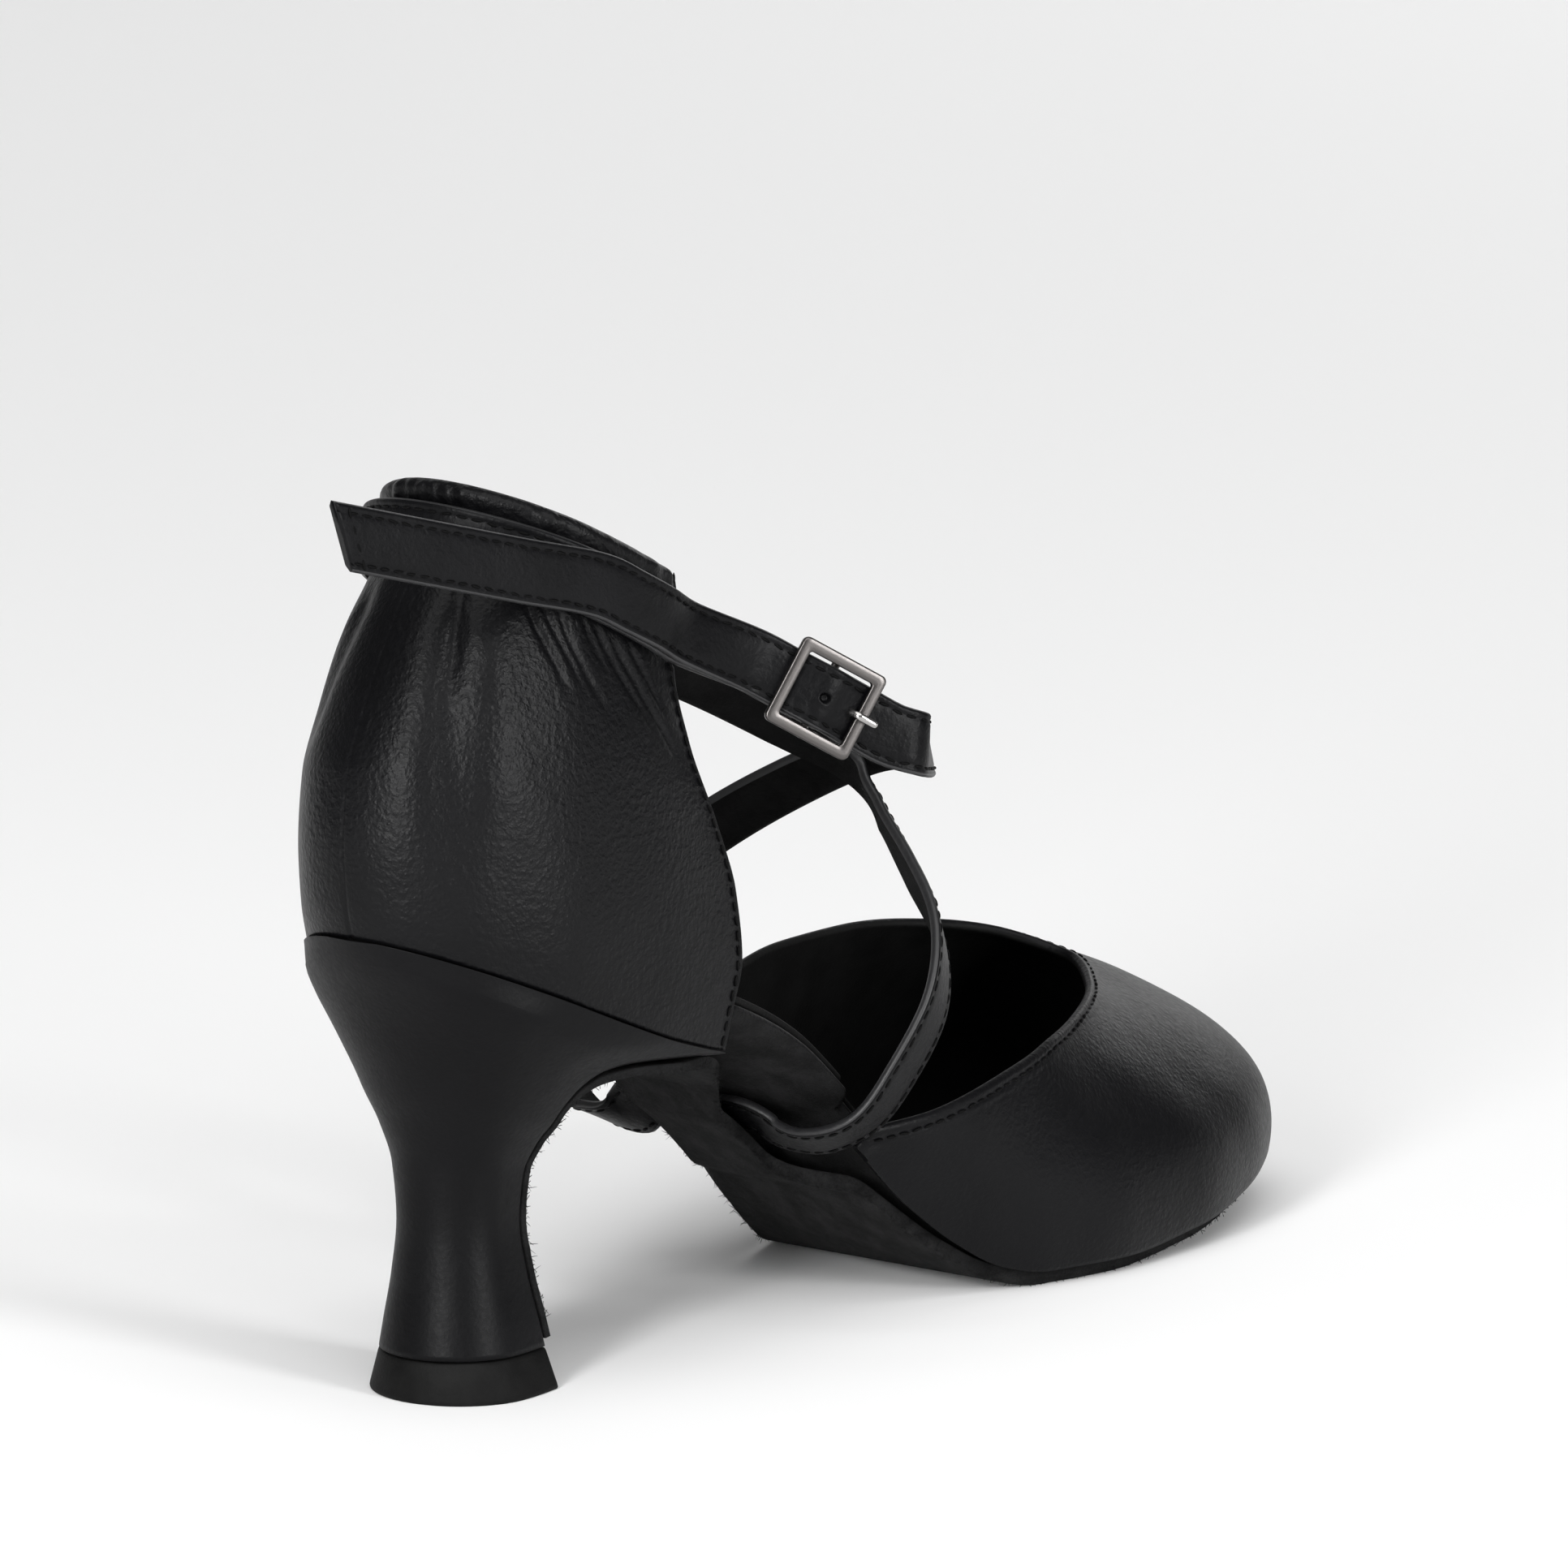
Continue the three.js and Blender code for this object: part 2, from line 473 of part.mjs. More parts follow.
// The strap's middle line, a point and an outward direction for each row, from its folded end at the
// buckle round the ankle, over the instep, through the sole and back to its free end.
const buckleRow = (u, w, thin = 0) => ({ at: fromBuckle(u, w), out: wAxis.clone(), thin });
const aroundPin = (degrees) => {
  const angle = THREE.MathUtils.degToRad(degrees);
  const out = uAxis.clone().multiplyScalar(Math.cos(angle)).addScaledVector(wAxis, Math.sin(angle));
  return { at: pinCentre.clone().addScaledVector(out, loopRadius), out, thin: 1 };
};
const settle = 0.3; // the strap's stand-off from the curve of the heel cup
const cupRow = (around, rise, layer) => {
  const out = normalOf(cupSurface, around, rise, -1).negate();
  const at = cupSurface(around, rise);
  const half = (0.5 * strapWidth) / cupSurface(around, 1).distanceTo(cupSurface(around, 0));
  const beyond = [-half, half].map((part) => cupSurface(around, Math.min(rise + part, 1)).sub(at).dot(out));
  const away = clearance * (layer + 1) + strapThickness * (layer + 0.5) + Math.max(...beyond, 0) + settle;
  return { at: at.addScaledVector(out, away), out, thin: 0 };
};
// facing and tip are the outward direction's angles round the upright axis and above the floor.
const freeRow = (row) => {
  const facing = THREE.MathUtils.degToRad(row.facing);
  const tip = THREE.MathUtils.degToRad(row.tip);
  const flat = Math.cos(tip);
  const out = vector(flat * Math.cos(facing), flat * Math.sin(facing), Math.sin(tip));
  return { at: freePoint(row), out, thin: 0 };
};
const tunnelRow = (y) => {
  const step = 2;
  const slope = (seatHeight(tunnelX + step, y) - seatHeight(tunnelX - step, y)) / (2 * step);
  const out = vector(slope, 0, -1).normalize();
  const at = vector(tunnelX, y, seatHeight(tunnelX, Math.abs(y) < 12 ? y : 12));
  return { at: at.addScaledVector(out, clearance + tunnelRoom + strapThickness / 2), out, thin: 0 };
};

const overInstep = [
  { along: 0.336, reach: 0.507, level: 0.76, facing: 87, tip: 9 },
  { along: 0.41, reach: 0.433, level: 0.723, facing: 75, tip: 14 },
  { along: 0.474, reach: 0.289, level: 0.675, facing: 61, tip: 24 },
  { along: 0.525, reach: 0.144, level: 0.62, facing: 42, tip: 41 },
  { along: 0.566, reach: -0.022, level: 0.565, facing: 2, tip: 48 },
  { along: 0.557, reach: -0.167, level: 0.527, facing: -8, tip: 38 },
  { along: 0.531, reach: -0.4, level: 0.476, facing: -26, tip: 24 },
  { along: 0.506, reach: -0.622, level: 0.421, facing: -51, tip: 12 },
  { along: 0.481, reach: -0.7, level: 0.353, facing: -69, tip: 3 },
  { along: 0.451, reach: -0.667, level: 0.284, facing: -81, tip: -11 },
  { along: 0.43, reach: -0.58, level: 0.23, facing: -90, tip: -30 },
  { along: 0.419, reach: -0.42, level: 0.206, facing: -121, tip: -50 },
  { along: 0.415, reach: -0.27, level: 0.208, facing: -160, tip: -54 },
];
const backOver = [
  { along: 0.415, reach: 0.43, level: 0.2, facing: 152, tip: -52 },
  { along: 0.417, reach: 0.56, level: 0.196, facing: 130, tip: -53 },
  { along: 0.42, reach: 0.711, level: 0.21, facing: 97, tip: -37 },
  { along: 0.428, reach: 0.833, level: 0.247, facing: 90, tip: -14 },
  { along: 0.46, reach: 0.9, level: 0.322, facing: 84, tip: 3 },
  { along: 0.511, reach: 0.822, level: 0.404, facing: 69, tip: 9 },
  { along: 0.552, reach: 0.578, level: 0.483, facing: 43, tip: 20 },
  { along: 0.575, reach: 0.289, level: 0.541, facing: 25, tip: 34 },
  { along: 0.581, reach: 0.022, level: 0.58, facing: 0, tip: 45 },
  { along: 0.561, reach: -0.244, level: 0.603, facing: -27, tip: 37 },
  { along: 0.506, reach: -0.522, level: 0.623, facing: -42, tip: 21 },
  { along: 0.451, reach: -0.767, level: 0.646, facing: -51, tip: 12 },
  { along: 0.417, reach: -0.89, level: 0.659, facing: -66, tip: 6 },
  { along: 0.398, reach: -0.945, level: 0.667, facing: -93, tip: 3 },
];
const onCup = 0.87; // share of the heel cup's height at which the strap lies
const betweenLayers = clearance + skived;
const rows = [
  buckleRow(-8.5, -loopRadius + betweenLayers, 1),
  buckleRow(-5.5, -loopRadius + betweenLayers + 0.2, 1),
  buckleRow(-3, loopRadius - 0.7, 1),
  ...[105, 60, 0, -60, -105].map(aroundPin),
  buckleRow(-3.5, -loopRadius, 1),
  buckleRow(-8.5, -loopRadius, 1),
  buckleRow(-12, -loopRadius),
  ...[-0.97, -0.84, -0.68, -0.5, -0.3, -0.1].map((u) => cupRow(u, onCup, 0)),
  ...[0.1, 0.3, 0.5, 0.68, 0.82, 0.92, 1].map((u) => cupRow(u, onCup, 0)),
  ...overInstep.map(freeRow),
  ...[-7, 0, 7, 14].map(tunnelRow),
  ...backOver.map(freeRow),
  buckleRow(13, underFrame),
  buckleRow(barAway, underFrame),
  buckleRow(barAway / 2, (underFrame + overPin) / 2),
  buckleRow(0, overPin),
  buckleRow(-barAway / 2, (underFrame + overPin) / 2),
  buckleRow(-barAway, underFrame),
  buckleRow(-12, underFrame - 0.2),
  ...[-0.97, -0.86, -0.74, -0.62].map((u) => cupRow(u, onCup, 1)),
];
const leaving = rows[rows.length - 1];
const endWay = vector(-0.93, 0.22, 0.25).normalize();
for (const part of [0.33, 0.66, 1])
  rows.push({ ...leaving, at: leaving.at.clone().addScaledVector(endWay, part * freeEnd) });

function ribbon(rows, width, thickness) {
  const middle = new THREE.CatmullRomCurve3(rows.map((row) => row.at), false, "centripetal");
  const outward = new THREE.CatmullRomCurve3(rows.map((row) => row.out), false, "centripetal");
  const last = rows.length - 1;
  const stations = [];
  for (let n = 0; n < last; n++) {
    const steps = Math.max(2, Math.round(rows[n].at.distanceTo(rows[n + 1].at) / 4.5));
    for (let i = 0; i < steps; i++) stations.push((n + i / steps) / last);
  }
  stations.push(1);
  const frames = stations.map((t) => {
    const tangent = middle.getTangent(t);
    const across = tangent.clone().cross(outward.getPoint(t)).normalize();
    const n = Math.min(Math.floor(t * last), last - 1);
    const thin = THREE.MathUtils.lerp(rows[n].thin, rows[n + 1].thin, t * last - n);
    return { at: middle.getPoint(t), tangent, across, out: across.clone().cross(tangent), thin };
  });
  const slant = 0.6;
  return block(stations.length - 1, 1, 1, (i, j, k) => {
    const { at, tangent, across, out, thin } = frames[i];
    const thick = THREE.MathUtils.lerp(thickness, skived, thin);
    const side = j - 0.5;
    const ahead = i === stations.length - 1 ? slant * side * width : 0;
    return at
      .clone()
      .addScaledVector(across, side * width)
      .addScaledVector(out, (k - 0.5) * thick)
      .addScaledVector(tangent, ahead);
  });
}

// Solids that can be joined and cut, and back to geometry.
const wasm = await Module();
wasm.setup();
function solid(geometry) {
  const plain = geometry.clone();
  plain.deleteAttribute("normal");
  plain.deleteAttribute("uv");
  const welded = mergeVertices(plain, 1e-3);
  return new wasm.Manifold(
    new wasm.Mesh({
      numProp: 3,
      vertProperties: new Float32Array(welded.attributes.position.array),
      triVerts: new Uint32Array(welded.index.array),
    }),
  );
}
function geometryOf(made) {
  const mesh = made.getMesh();
  const positions = new Float32Array(mesh.numVert * 3);
  for (let i = 0; i < mesh.numVert; i++)
    positions.set(mesh.vertProperties.subarray(i * mesh.numProp, i * mesh.numProp + 3), i * 3);
  return new THREE.BufferGeometry()
    .setAttribute("position", new THREE.BufferAttribute(positions, 3))
    .setIndex(new THREE.BufferAttribute(new Uint32Array(mesh.triVerts), 1));
}

// Buckle frame with its middle bar, and the prong that turns round that bar.
const toBuckle = new THREE.Matrix4().makeBasis(uAxis, vAxis, wAxis).setPosition(pinCentre);
function roundedRectangle(target, width, height, radius) {
  const [x, y] = [width / 2, height / 2];
  target.moveTo(-x + radius, -y);
  target.lineTo(x - radius, -y).absarc(x - radius, -y + radius, radius, -Math.PI / 2, 0);
  target.lineTo(x, y - radius).absarc(x - radius, y - radius, radius, 0, Math.PI / 2);
  target.lineTo(-x + radius, y).absarc(-x + radius, y - radius, radius, Math.PI / 2, Math.PI);
  target.lineTo(-x, -y + radius).absarc(-x + radius, -y + radius, radius, Math.PI, Math.PI * 1.5);
  return target;
}
const frameShape = roundedRectangle(new THREE.Shape(), frameLength, frameWidth, 0.9);
frameShape.holes.push(
  roundedRectangle(new THREE.Path(), frameLength - 2 * frameBar, frameWidth - 2 * frameBar, 0.5),
);
const plate = new THREE.ExtrudeGeometry(frameShape, {
  depth: frameThickness,
  bevelEnabled: false,
  curveSegments: 3,
});
plate.translate(0, 0, pinDepth - frameThickness / 2);
const pinLength = frameWidth - frameBar;
const pin = new THREE.CylinderGeometry(pinRadius, pinRadius, pinLength, 10);
const lugHeight = pinDepth + pinRadius;
const lug = (side) =>
  new THREE.BoxGeometry(2.2, frameBar - 0.3, lugHeight).translate(
    0,
    (side * (frameWidth - frameBar)) / 2,
    pinDepth / 2 - pinRadius / 2,
  );
const buckle = [pin, lug(-1), lug(1)].reduce((made, next) => made.add(solid(next)), solid(plate));
const prongPath = [
  [0.72, 1.25],
  [-0.3, 1.42],
  [-1.25, 0.72],
  [-1.42, -0.3],
  [-0.72, -1.25],
  [0.5, -1.4],
  [2, -0.7],
  [3.4, 0.3],
  [4.4, 1.9],
  [4.9, 3.4],
  [5.7, 4.35],
  [barAway, pinDepth + frameThickness / 2 + clearance + prongRadius],
  [barAway + 2.6, pinDepth + frameThickness / 2 + clearance + prongRadius - 0.1],
];
const prongPoints = prongPath.map(([u, w]) => vector(u, 0, w));
const prongCurve = new THREE.CatmullRomCurve3(prongPoints, false, "centripetal");
function tube(radius, sides) {
  const round = new THREE.Shape();
  for (let i = 0; i < sides; i++) {
    const angle = (2 * Math.PI * i) / sides;
    round[i ? "lineTo" : "moveTo"](radius * Math.cos(angle), radius * Math.sin(angle));
  }
  return new THREE.ExtrudeGeometry(round, { steps: 26, extrudePath: prongCurve, bevelEnabled: false });
}
const prong = tube(prongRadius, 8);
const slot = solid(tube(prongRadius + clearance + 0.05, 8).applyMatrix4(toBuckle));
const strap = solid(ribbon(rows, strapWidth, strapThickness)).subtract(slot);

function piece(name, geometry, finish) {
  const mesh = new THREE.Mesh(geometry, new THREE.MeshStandardMaterial(finish));
  mesh.name = name;
  return mesh;
}

const shoe = new THREE.Group();
shoe.add(
  piece("vamp", vamp, leather),
  piece("heel_cup", heelCup, leather),
  piece("insole_board", board, leather),
  piece("insole_sock", sock, leather),
  piece("heel", heel, leather),
  piece("top_lift", lift, rubber),
  piece("outsole", outsole, suede),
  piece("strap", geometryOf(strap), leather),
  piece("buckle_frame", geometryOf(buckle).applyMatrix4(toBuckle), gunmetal),
  piece("buckle_prong", prong.applyMatrix4(toBuckle), gunmetal),
);

export default shoe;
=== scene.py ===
import math

import bpy
import bmesh
import numpy as np
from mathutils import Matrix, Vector


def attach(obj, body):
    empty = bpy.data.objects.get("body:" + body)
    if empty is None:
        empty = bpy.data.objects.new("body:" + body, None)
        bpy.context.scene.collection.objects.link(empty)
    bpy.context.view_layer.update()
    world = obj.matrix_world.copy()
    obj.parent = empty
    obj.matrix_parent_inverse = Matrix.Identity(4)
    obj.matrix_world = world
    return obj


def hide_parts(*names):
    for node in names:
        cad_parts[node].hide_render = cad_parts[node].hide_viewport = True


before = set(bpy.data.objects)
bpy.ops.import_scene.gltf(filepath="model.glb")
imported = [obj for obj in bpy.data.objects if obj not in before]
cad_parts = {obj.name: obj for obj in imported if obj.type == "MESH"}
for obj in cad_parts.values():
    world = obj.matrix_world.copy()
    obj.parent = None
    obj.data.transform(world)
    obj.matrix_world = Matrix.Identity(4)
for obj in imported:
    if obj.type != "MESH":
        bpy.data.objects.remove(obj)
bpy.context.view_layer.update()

mm = 0.001  # the shapes are worked out in millimetres and made in metres

print("frame loaded")


def smooth(value, low, high):
    t = np.clip((value - low) / (high - low), 0, 1)
    return t * t * (3 - 2 * t)


def unit(v):
    return v / np.maximum(np.linalg.norm(v, axis=-1, keepdims=True), 1e-12)


class Table:
    # rows of named columns, read on a smooth curve that doesn't overshoot them
    def __init__(self, columns, rows):
        names = columns.split()
        self.column = {name: np.array([row[n] for row in rows], float) for n, name in enumerate(names)}
        self.key = self.column[names[0]]

    def read(self, name, at, key=None):
        k = self.key if key is None else key
        v = self.column[name]
        slope = np.diff(v) / np.diff(k)
        before, after = slope[:-1], slope[1:]
        both = np.where(before * after > 0, before + after, 1)
        inside = np.where(before * after > 0, 2 * before * after / both, 0)
        tangent = np.concatenate([slope[:1], inside, slope[-1:]])
        x = np.clip(np.asarray(at, float), k[0], k[-1])
        i = np.clip(np.searchsorted(k, x, side="right") - 1, 0, len(k) - 2)
        span = k[i + 1] - k[i]
        t = (x - k[i]) / span
        rise = t * t * (3 - 2 * t)
        bend = span * (tangent[i] * t * (1 - t) ** 2 - tangent[i + 1] * t * t * (1 - t))
        return v[i] * (1 - rise) + v[i + 1] * rise + bend


# the last, in millimetres, as the solids have it
shoe = {
    "length": 217.5, "rear": -22.6, "heelHeight": 75, "ballWidth": 67, "toeSpring": 9.5,
    "waistCurl": 8, "toplineHeight": 50, "ballLevel": 3.1, "vampBack": 0.448,
    "vampWall": 1.5, "cupWall": 2.2, "gap": 0.3,
}
lastBottom = Table("along rise spring lateral medial", [
    (0, 1, 0, 0, 0), (0.02, 0.973, 0, 0.176, 0.176), (0.06, 0.919, 0, 0.288, 0.288),
    (0.12, 0.838, 0, 0.359, 0.356), (0.2, 0.73, 0, 0.38, 0.364), (0.26, 0.655, 0, 0.366, 0.33),
    (0.3, 0.606, 0, 0.35, 0.285), (0.35, 0.545, 0, 0.321, 0.24), (0.39, 0.482, 0, 0.308, 0.214),
    (0.435, 0.376, 0, 0.304, 0.206), (0.47, 0.278, 0, 0.312, 0.22), (0.5, 0.195, 0, 0.33, 0.245),
    (0.545, 0.09, 0, 0.366, 0.285), (0.585, 0.022, 0, 0.41, 0.33), (0.62, 0, 0, 0.455, 0.378),
    (0.7, 0, 0, 0.507, 0.455), (0.78, 0, 0.16, 0.508, 0.49), (0.86, 0, 0.4, 0.455, 0.465),
    (0.92, 0, 0.64, 0.375, 0.39), (0.964, 0, 0.83, 0.275, 0.29), (0.985, 0, 0.93, 0.19, 0.2),
    (1, 0, 1, 0, 0),
])
waist = Table("along curl seat lateral medial", [
    (0, 0, 0, 0.7, 0.7), (0.12, 0, 0, 0.7, 0.7), (0.2, 0.2, 0.05, 0.7, 0.7), (0.26, 0.7, 0.18, 0.75, 0.8),
    (0.3, 1, 0.3, 0.8, 0.88), (0.35, 0.97, 0.26, 0.5, 0.89), (0.39, 0.93, 0.18, 0.27, 0.9),
    (0.435, 0.9, 0.1, 0.27, 0.92), (0.47, 0.82, 0.05, 0.78, 0.95), (0.5, 0.7, 0, 0.92, 0.97),
    (0.545, 0.4, 0, 0.96, 0.98), (0.585, 0.15, 0, 0.98, 0.98), (0.62, 0, 0, 0.98, 0.98),
    (1, 0, 0, 0.98, 0.98),
])
vampEdge = Table("at along across level slope foot lean bulge", [
    (-1, 0.452, -0.336, 0.63, 85, 0.3, 0.3, 0), (-0.92, 0.504, -0.395, 0.656, 80, 0.3, 0.3, 0.06),
    (-0.85, 0.551, -0.418, 0.7, 75, 0.32, 0.32, 0.08), (-0.75, 0.606, -0.41, 0.746, 66, 0.36, 0.34, 0.1),
    (-0.65, 0.652, -0.38, 0.78, 58, 0.38, 0.34, 0.12), (-0.45, 0.721, -0.291, 0.8, 38, 0.37, 0.34, 0.1),
    (-0.25, 0.785, -0.164, 0.812, 22, 0.34, 0.34, 0.06), (0, 0.835, 0.03, 0.845, 17, 0.3, 0.34, 0.04),
    (0.25, 0.815, 0.164, 0.905, 22, 0.34, 0.34, 0.06), (0.45, 0.771, 0.269, 0.955, 38, 0.38, 0.34, 0.1),
    (0.65, 0.693, 0.336, 0.99, 60, 0.38, 0.34, 0.12), (0.75, 0.624, 0.351, 0.985, 68, 0.36, 0.34, 0.1),
    (0.85, 0.56, 0.336, 0.945, 75, 0.32, 0.32, 0.08), (0.92, 0.505, 0.299, 0.85, 80, 0.3, 0.3, 0.06),
    (1, 0.45, 0.23, 0.66, 85, 0.3, 0.3, 0),
])
cup = {"height": 71, "drop": 20, "length": 63}
cupLevels = Table("rise back front lateral medial", [
    (0, 0, 0.975, 1, 1), (0.08, -0.02, 0.99, 1.03, 1.02), (0.2, -0.03, 1.02, 1.05, 1.04),
    (0.35, -0.01, 1, 1.04, 1.03), (0.5, 0.06, 0.94, 1, 0.98), (0.65, 0.155, 0.87, 0.93, 0.9),
    (0.78, 0.25, 0.845, 0.86, 0.83), (0.87, 0.295, 0.85, 0.83, 0.8), (0.94, 0.3, 0.87, 0.84, 0.81),
    (1, 0.32, 0.87, 0.82, 0.79),
])


def turnOf(share):
    return np.arccos(1 - 2 * np.clip(share, 0, 1)) / math.pi


def shareOf(turn):
    return (1 - np.cos(math.pi * np.asarray(turn, float))) / 2


def xAt(share):
    return shoe["rear"] + share * shoe["length"]


def shareAt(x):
    return (x - shoe["rear"]) / shoe["length"]


outlineTurn = turnOf(lastBottom.key)


def outlineHalf(turn, side):
    lateral = lastBottom.read("lateral", turn, outlineTurn)
    medial = lastBottom.read("medial", turn, outlineTurn)
    return shoe["ballWidth"] * np.where(side < 0, lateral, medial)


def boardHeight(x):
    rise = lastBottom.read("rise", shareAt(x)) * (shoe["heelHeight"] - shoe["ballLevel"])
    return shoe["ballLevel"] + rise + lastBottom.read("spring", shareAt(x)) * shoe["toeSpring"]


def bottomHeight(x, y, column):
    half = np.maximum(outlineHalf(turnOf(shareAt(x)), np.where(y < 0, -1, 1)), 1)
    curl = shoe["waistCurl"] * waist.read(column, shareAt(x))
    return boardHeight(x) + curl * np.minimum(np.abs(y / half), 1.15) ** 2


def feather(turn, side, inset=0):
    # a point of the feather line from above, moved inwards
    def at(t):
        return np.stack([xAt(shareOf(t)), side * outlineHalf(t, side)], -1)

    turn, side, inset = np.broadcast_arrays(np.asarray(turn, float), np.asarray(side, float), inset)
    along = unit(at(np.minimum(turn + 1e-3, 1)) - at(np.maximum(turn - 1e-3, 0)))
    inward = np.stack([along[..., 1] * side, -along[..., 0] * side], -1)
    inward[turn <= 0] = (1, 0)
    inward[turn >= 1] = (-1, 0)
    return at(turn) + inward * inset[..., None]


def vampSurface(around, up):
    around, up = np.broadcast_arrays(np.asarray(around, float), np.asarray(up, float))
    side = np.where(around < 0, -1, 1)
    turn = 1 - np.abs(around) * (1 - turnOf(shoe["vampBack"]))
    plan = feather(turn, side)
    outward = plan - feather(turn, side, 1)
    start = np.stack([plan[..., 0], plan[..., 1], bottomHeight(plan[..., 0], plan[..., 1], "seat")], -1)

    def row(column):
        return vampEdge.read(column, around)

    rim = [xAt(row("along")), shoe["ballWidth"] * row("across"), shoe["toplineHeight"] * row("level")]
    end = np.stack(rim, -1)
    span = np.linalg.norm(end - start, axis=-1)
    towards = (start - end)[..., :2]
    length = np.linalg.norm(towards, axis=-1, keepdims=True)
    mix = smooth(np.abs(around), 0.7, 0.95)[..., None]
    way = unit(towards * (1 - mix) + outward * length * mix)
    slope = np.radians(row("slope"))
    first = start.copy()
    first[..., 2] += span * row("foot")
    first[..., :2] += outward * (span * row("bulge"))[..., None]
    second = end.copy()
    second[..., :2] += way * (span * row("lean") * np.cos(slope))[..., None]
    second[..., 2] -= span * row("lean") * np.sin(slope)
    t = up[..., None]
    return (1 - t) ** 3 * start + 3 * (1 - t) ** 2 * t * first + 3 * (1 - t) * t * t * second + t ** 3 * end


def cupSurface(around, rise):
    around, rise = np.broadcast_arrays(np.asarray(around, float), np.asarray(rise, float))
    side = np.where(around < 0, -1, 1)
    footFront = cupLevels.column["front"][0] * cup["length"]
    plan = feather(np.abs(around) * turnOf(footFront / shoe["length"]), side)
    back, front = cupLevels.read("back", rise), cupLevels.read("front", rise)
    forward = (plan[..., 0] - shoe["rear"]) / footFront
    x = shoe["rear"] + cup["length"] * (back + (front - back) * forward)
    y = plan[..., 1] * np.where(side < 0, cupLevels.read("lateral", rise), cupLevels.read("medial", rise))
    foot = bottomHeight(plan[..., 0], plan[..., 1], "seat")
    forwardOfBack = (x - shoe["rear"] - 0.24 * cup["length"]) / (0.63 * cup["length"])
    drop = cup["drop"] * np.clip(forwardOfBack, 0, 1.3)
    top = shoe["heelHeight"] + cup["height"] - drop
    return np.stack([x, y, foot + rise * (top - foot)], -1)


def normalOf(surface, u, v):
    step = 2e-3
    u, v = np.broadcast_arrays(np.asarray(u, float), np.asarray(v, float))
    along = surface(np.minimum(u + step, 1), v) - surface(np.maximum(u - step, -1), v)
    up = surface(u, np.minimum(v + step, 1)) - surface(u, np.maximum(v - step, 0))
    return unit(np.cross(along, up))


def closeRound(distance, radius):
    # share of the wall's thickness left at a distance from its rounded edge
    t = np.clip(1 - distance / radius, 0, 1)
    return np.sqrt(np.maximum(1 - t * t, 0))


def arcFrom(points, axis, reverse=False):
    # length along a grid's lines, from its first row or its last
    step = np.linalg.norm(np.diff(points, axis=axis), axis=-1)
    step = np.flip(step, axis) if reverse else step
    length = np.cumsum(step, axis=axis)
    zero = np.zeros_like(np.take(length, [0], axis))
    length = np.concatenate([zero, length], axis)
    return np.flip(length, axis) if reverse else length


def fromEnds(points, axis):
    return np.minimum(arcFrom(points, axis), arcFrom(points, axis, reverse=True))


def bell(distance, width):
    return np.exp(-((distance / width) ** 2))


def denser(low, high, count, edge, extra, both=True):
    # even samples with closer ones towards the ends, where a wall turns round its edge
    even = np.linspace(low, high, count)
    near = edge * (1 - np.cos(np.linspace(0, math.pi / 2, extra)))
    parts = [even, high - near]
    if both:
        parts.append(low + near)
    return np.unique(np.round(np.concatenate(parts), 7))


def finishMesh(name, vertices, faces, slots, materials):
    mesh = bpy.data.meshes.new(name)
    mesh.from_pydata((vertices * mm).tolist(), [], faces)
    mesh.polygons.foreach_set("material_index", np.array(slots, np.int32))
    work = bmesh.new()
    work.from_mesh(mesh)
    bmesh.ops.remove_doubles(work, verts=work.verts, dist=2e-6)
    bmesh.ops.dissolve_degenerate(work, edges=work.edges, dist=1e-6)
    bmesh.ops.recalc_face_normals(work, faces=work.faces)
    if work.calc_volume(signed=True) < 0:
        bmesh.ops.reverse_faces(work, faces=work.faces)
    work.to_mesh(mesh)
    work.free()
    mesh.polygons.foreach_set("use_smooth", [True] * len(mesh.polygons))
    for material in materials:
        mesh.materials.append(material)
    piece = bpy.data.objects.new(name, mesh)
    bpy.context.scene.collection.objects.link(piece)
    return piece


def shell(name, outer, inner, materials, slots=(0, 1, 0)):
    # closed wall between two grids of points that meet or nearly meet at their edges
    n, m = outer.shape[:2]
    vertices = np.concatenate([outer.reshape(-1, 3), inner.reshape(-1, 3)])
    index = np.arange(n * m).reshape(n, m)
    front = np.stack([index[:-1, :-1], index[1:, :-1], index[1:, 1:], index[:-1, 1:]], -1).reshape(-1, 4)
    back = front[:, ::-1] + n * m
    rim = np.concatenate([index[:, 0], index[-1, 1:], index[-2::-1, -1], index[0, -2::-1]])
    edge = np.stack([rim[:-1], rim[1:], rim[1:] + n * m, rim[:-1] + n * m], -1)
    faces = np.concatenate([front, back, edge])
    slot = np.repeat(slots, [len(front), len(back), len(edge)])
    return finishMesh(name, vertices, faces.tolist(), slot, materials)


def ringTube(name, rings, materials, slots=None, caps=True):
    # closed surface through rings of points, with a fan over each end
    n, m = rings.shape[:2]
    vertices = rings.reshape(-1, 3)
    index = np.arange(n * m).reshape(n, m)
    nextOne = np.roll(index, -1, axis=1)
    faces = np.stack([index[:-1], nextOne[:-1], nextOne[1:], index[1:]], -1).reshape(-1, 4).tolist()
    slot = [0] * len(faces) if slots is None else list(slots)
    if caps:
        vertices = np.concatenate([vertices, rings[0].mean(0)[None], rings[-1].mean(0)[None]])
        for ring, turned, centre in ((index[0], True, n * m), (index[-1], False, n * m + 1)):
            pairs = zip(ring.tolist(), np.roll(ring, -1).tolist())
            faces += [[b, a, centre] if turned else [a, b, centre] for a, b in pairs]
            slot += [0] * m
    return finishMesh(name, vertices, faces, slot, materials)


def place(piece, slotName, *nodes):
    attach(piece, "root")
    if nodes:
        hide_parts(*nodes)
    return piece


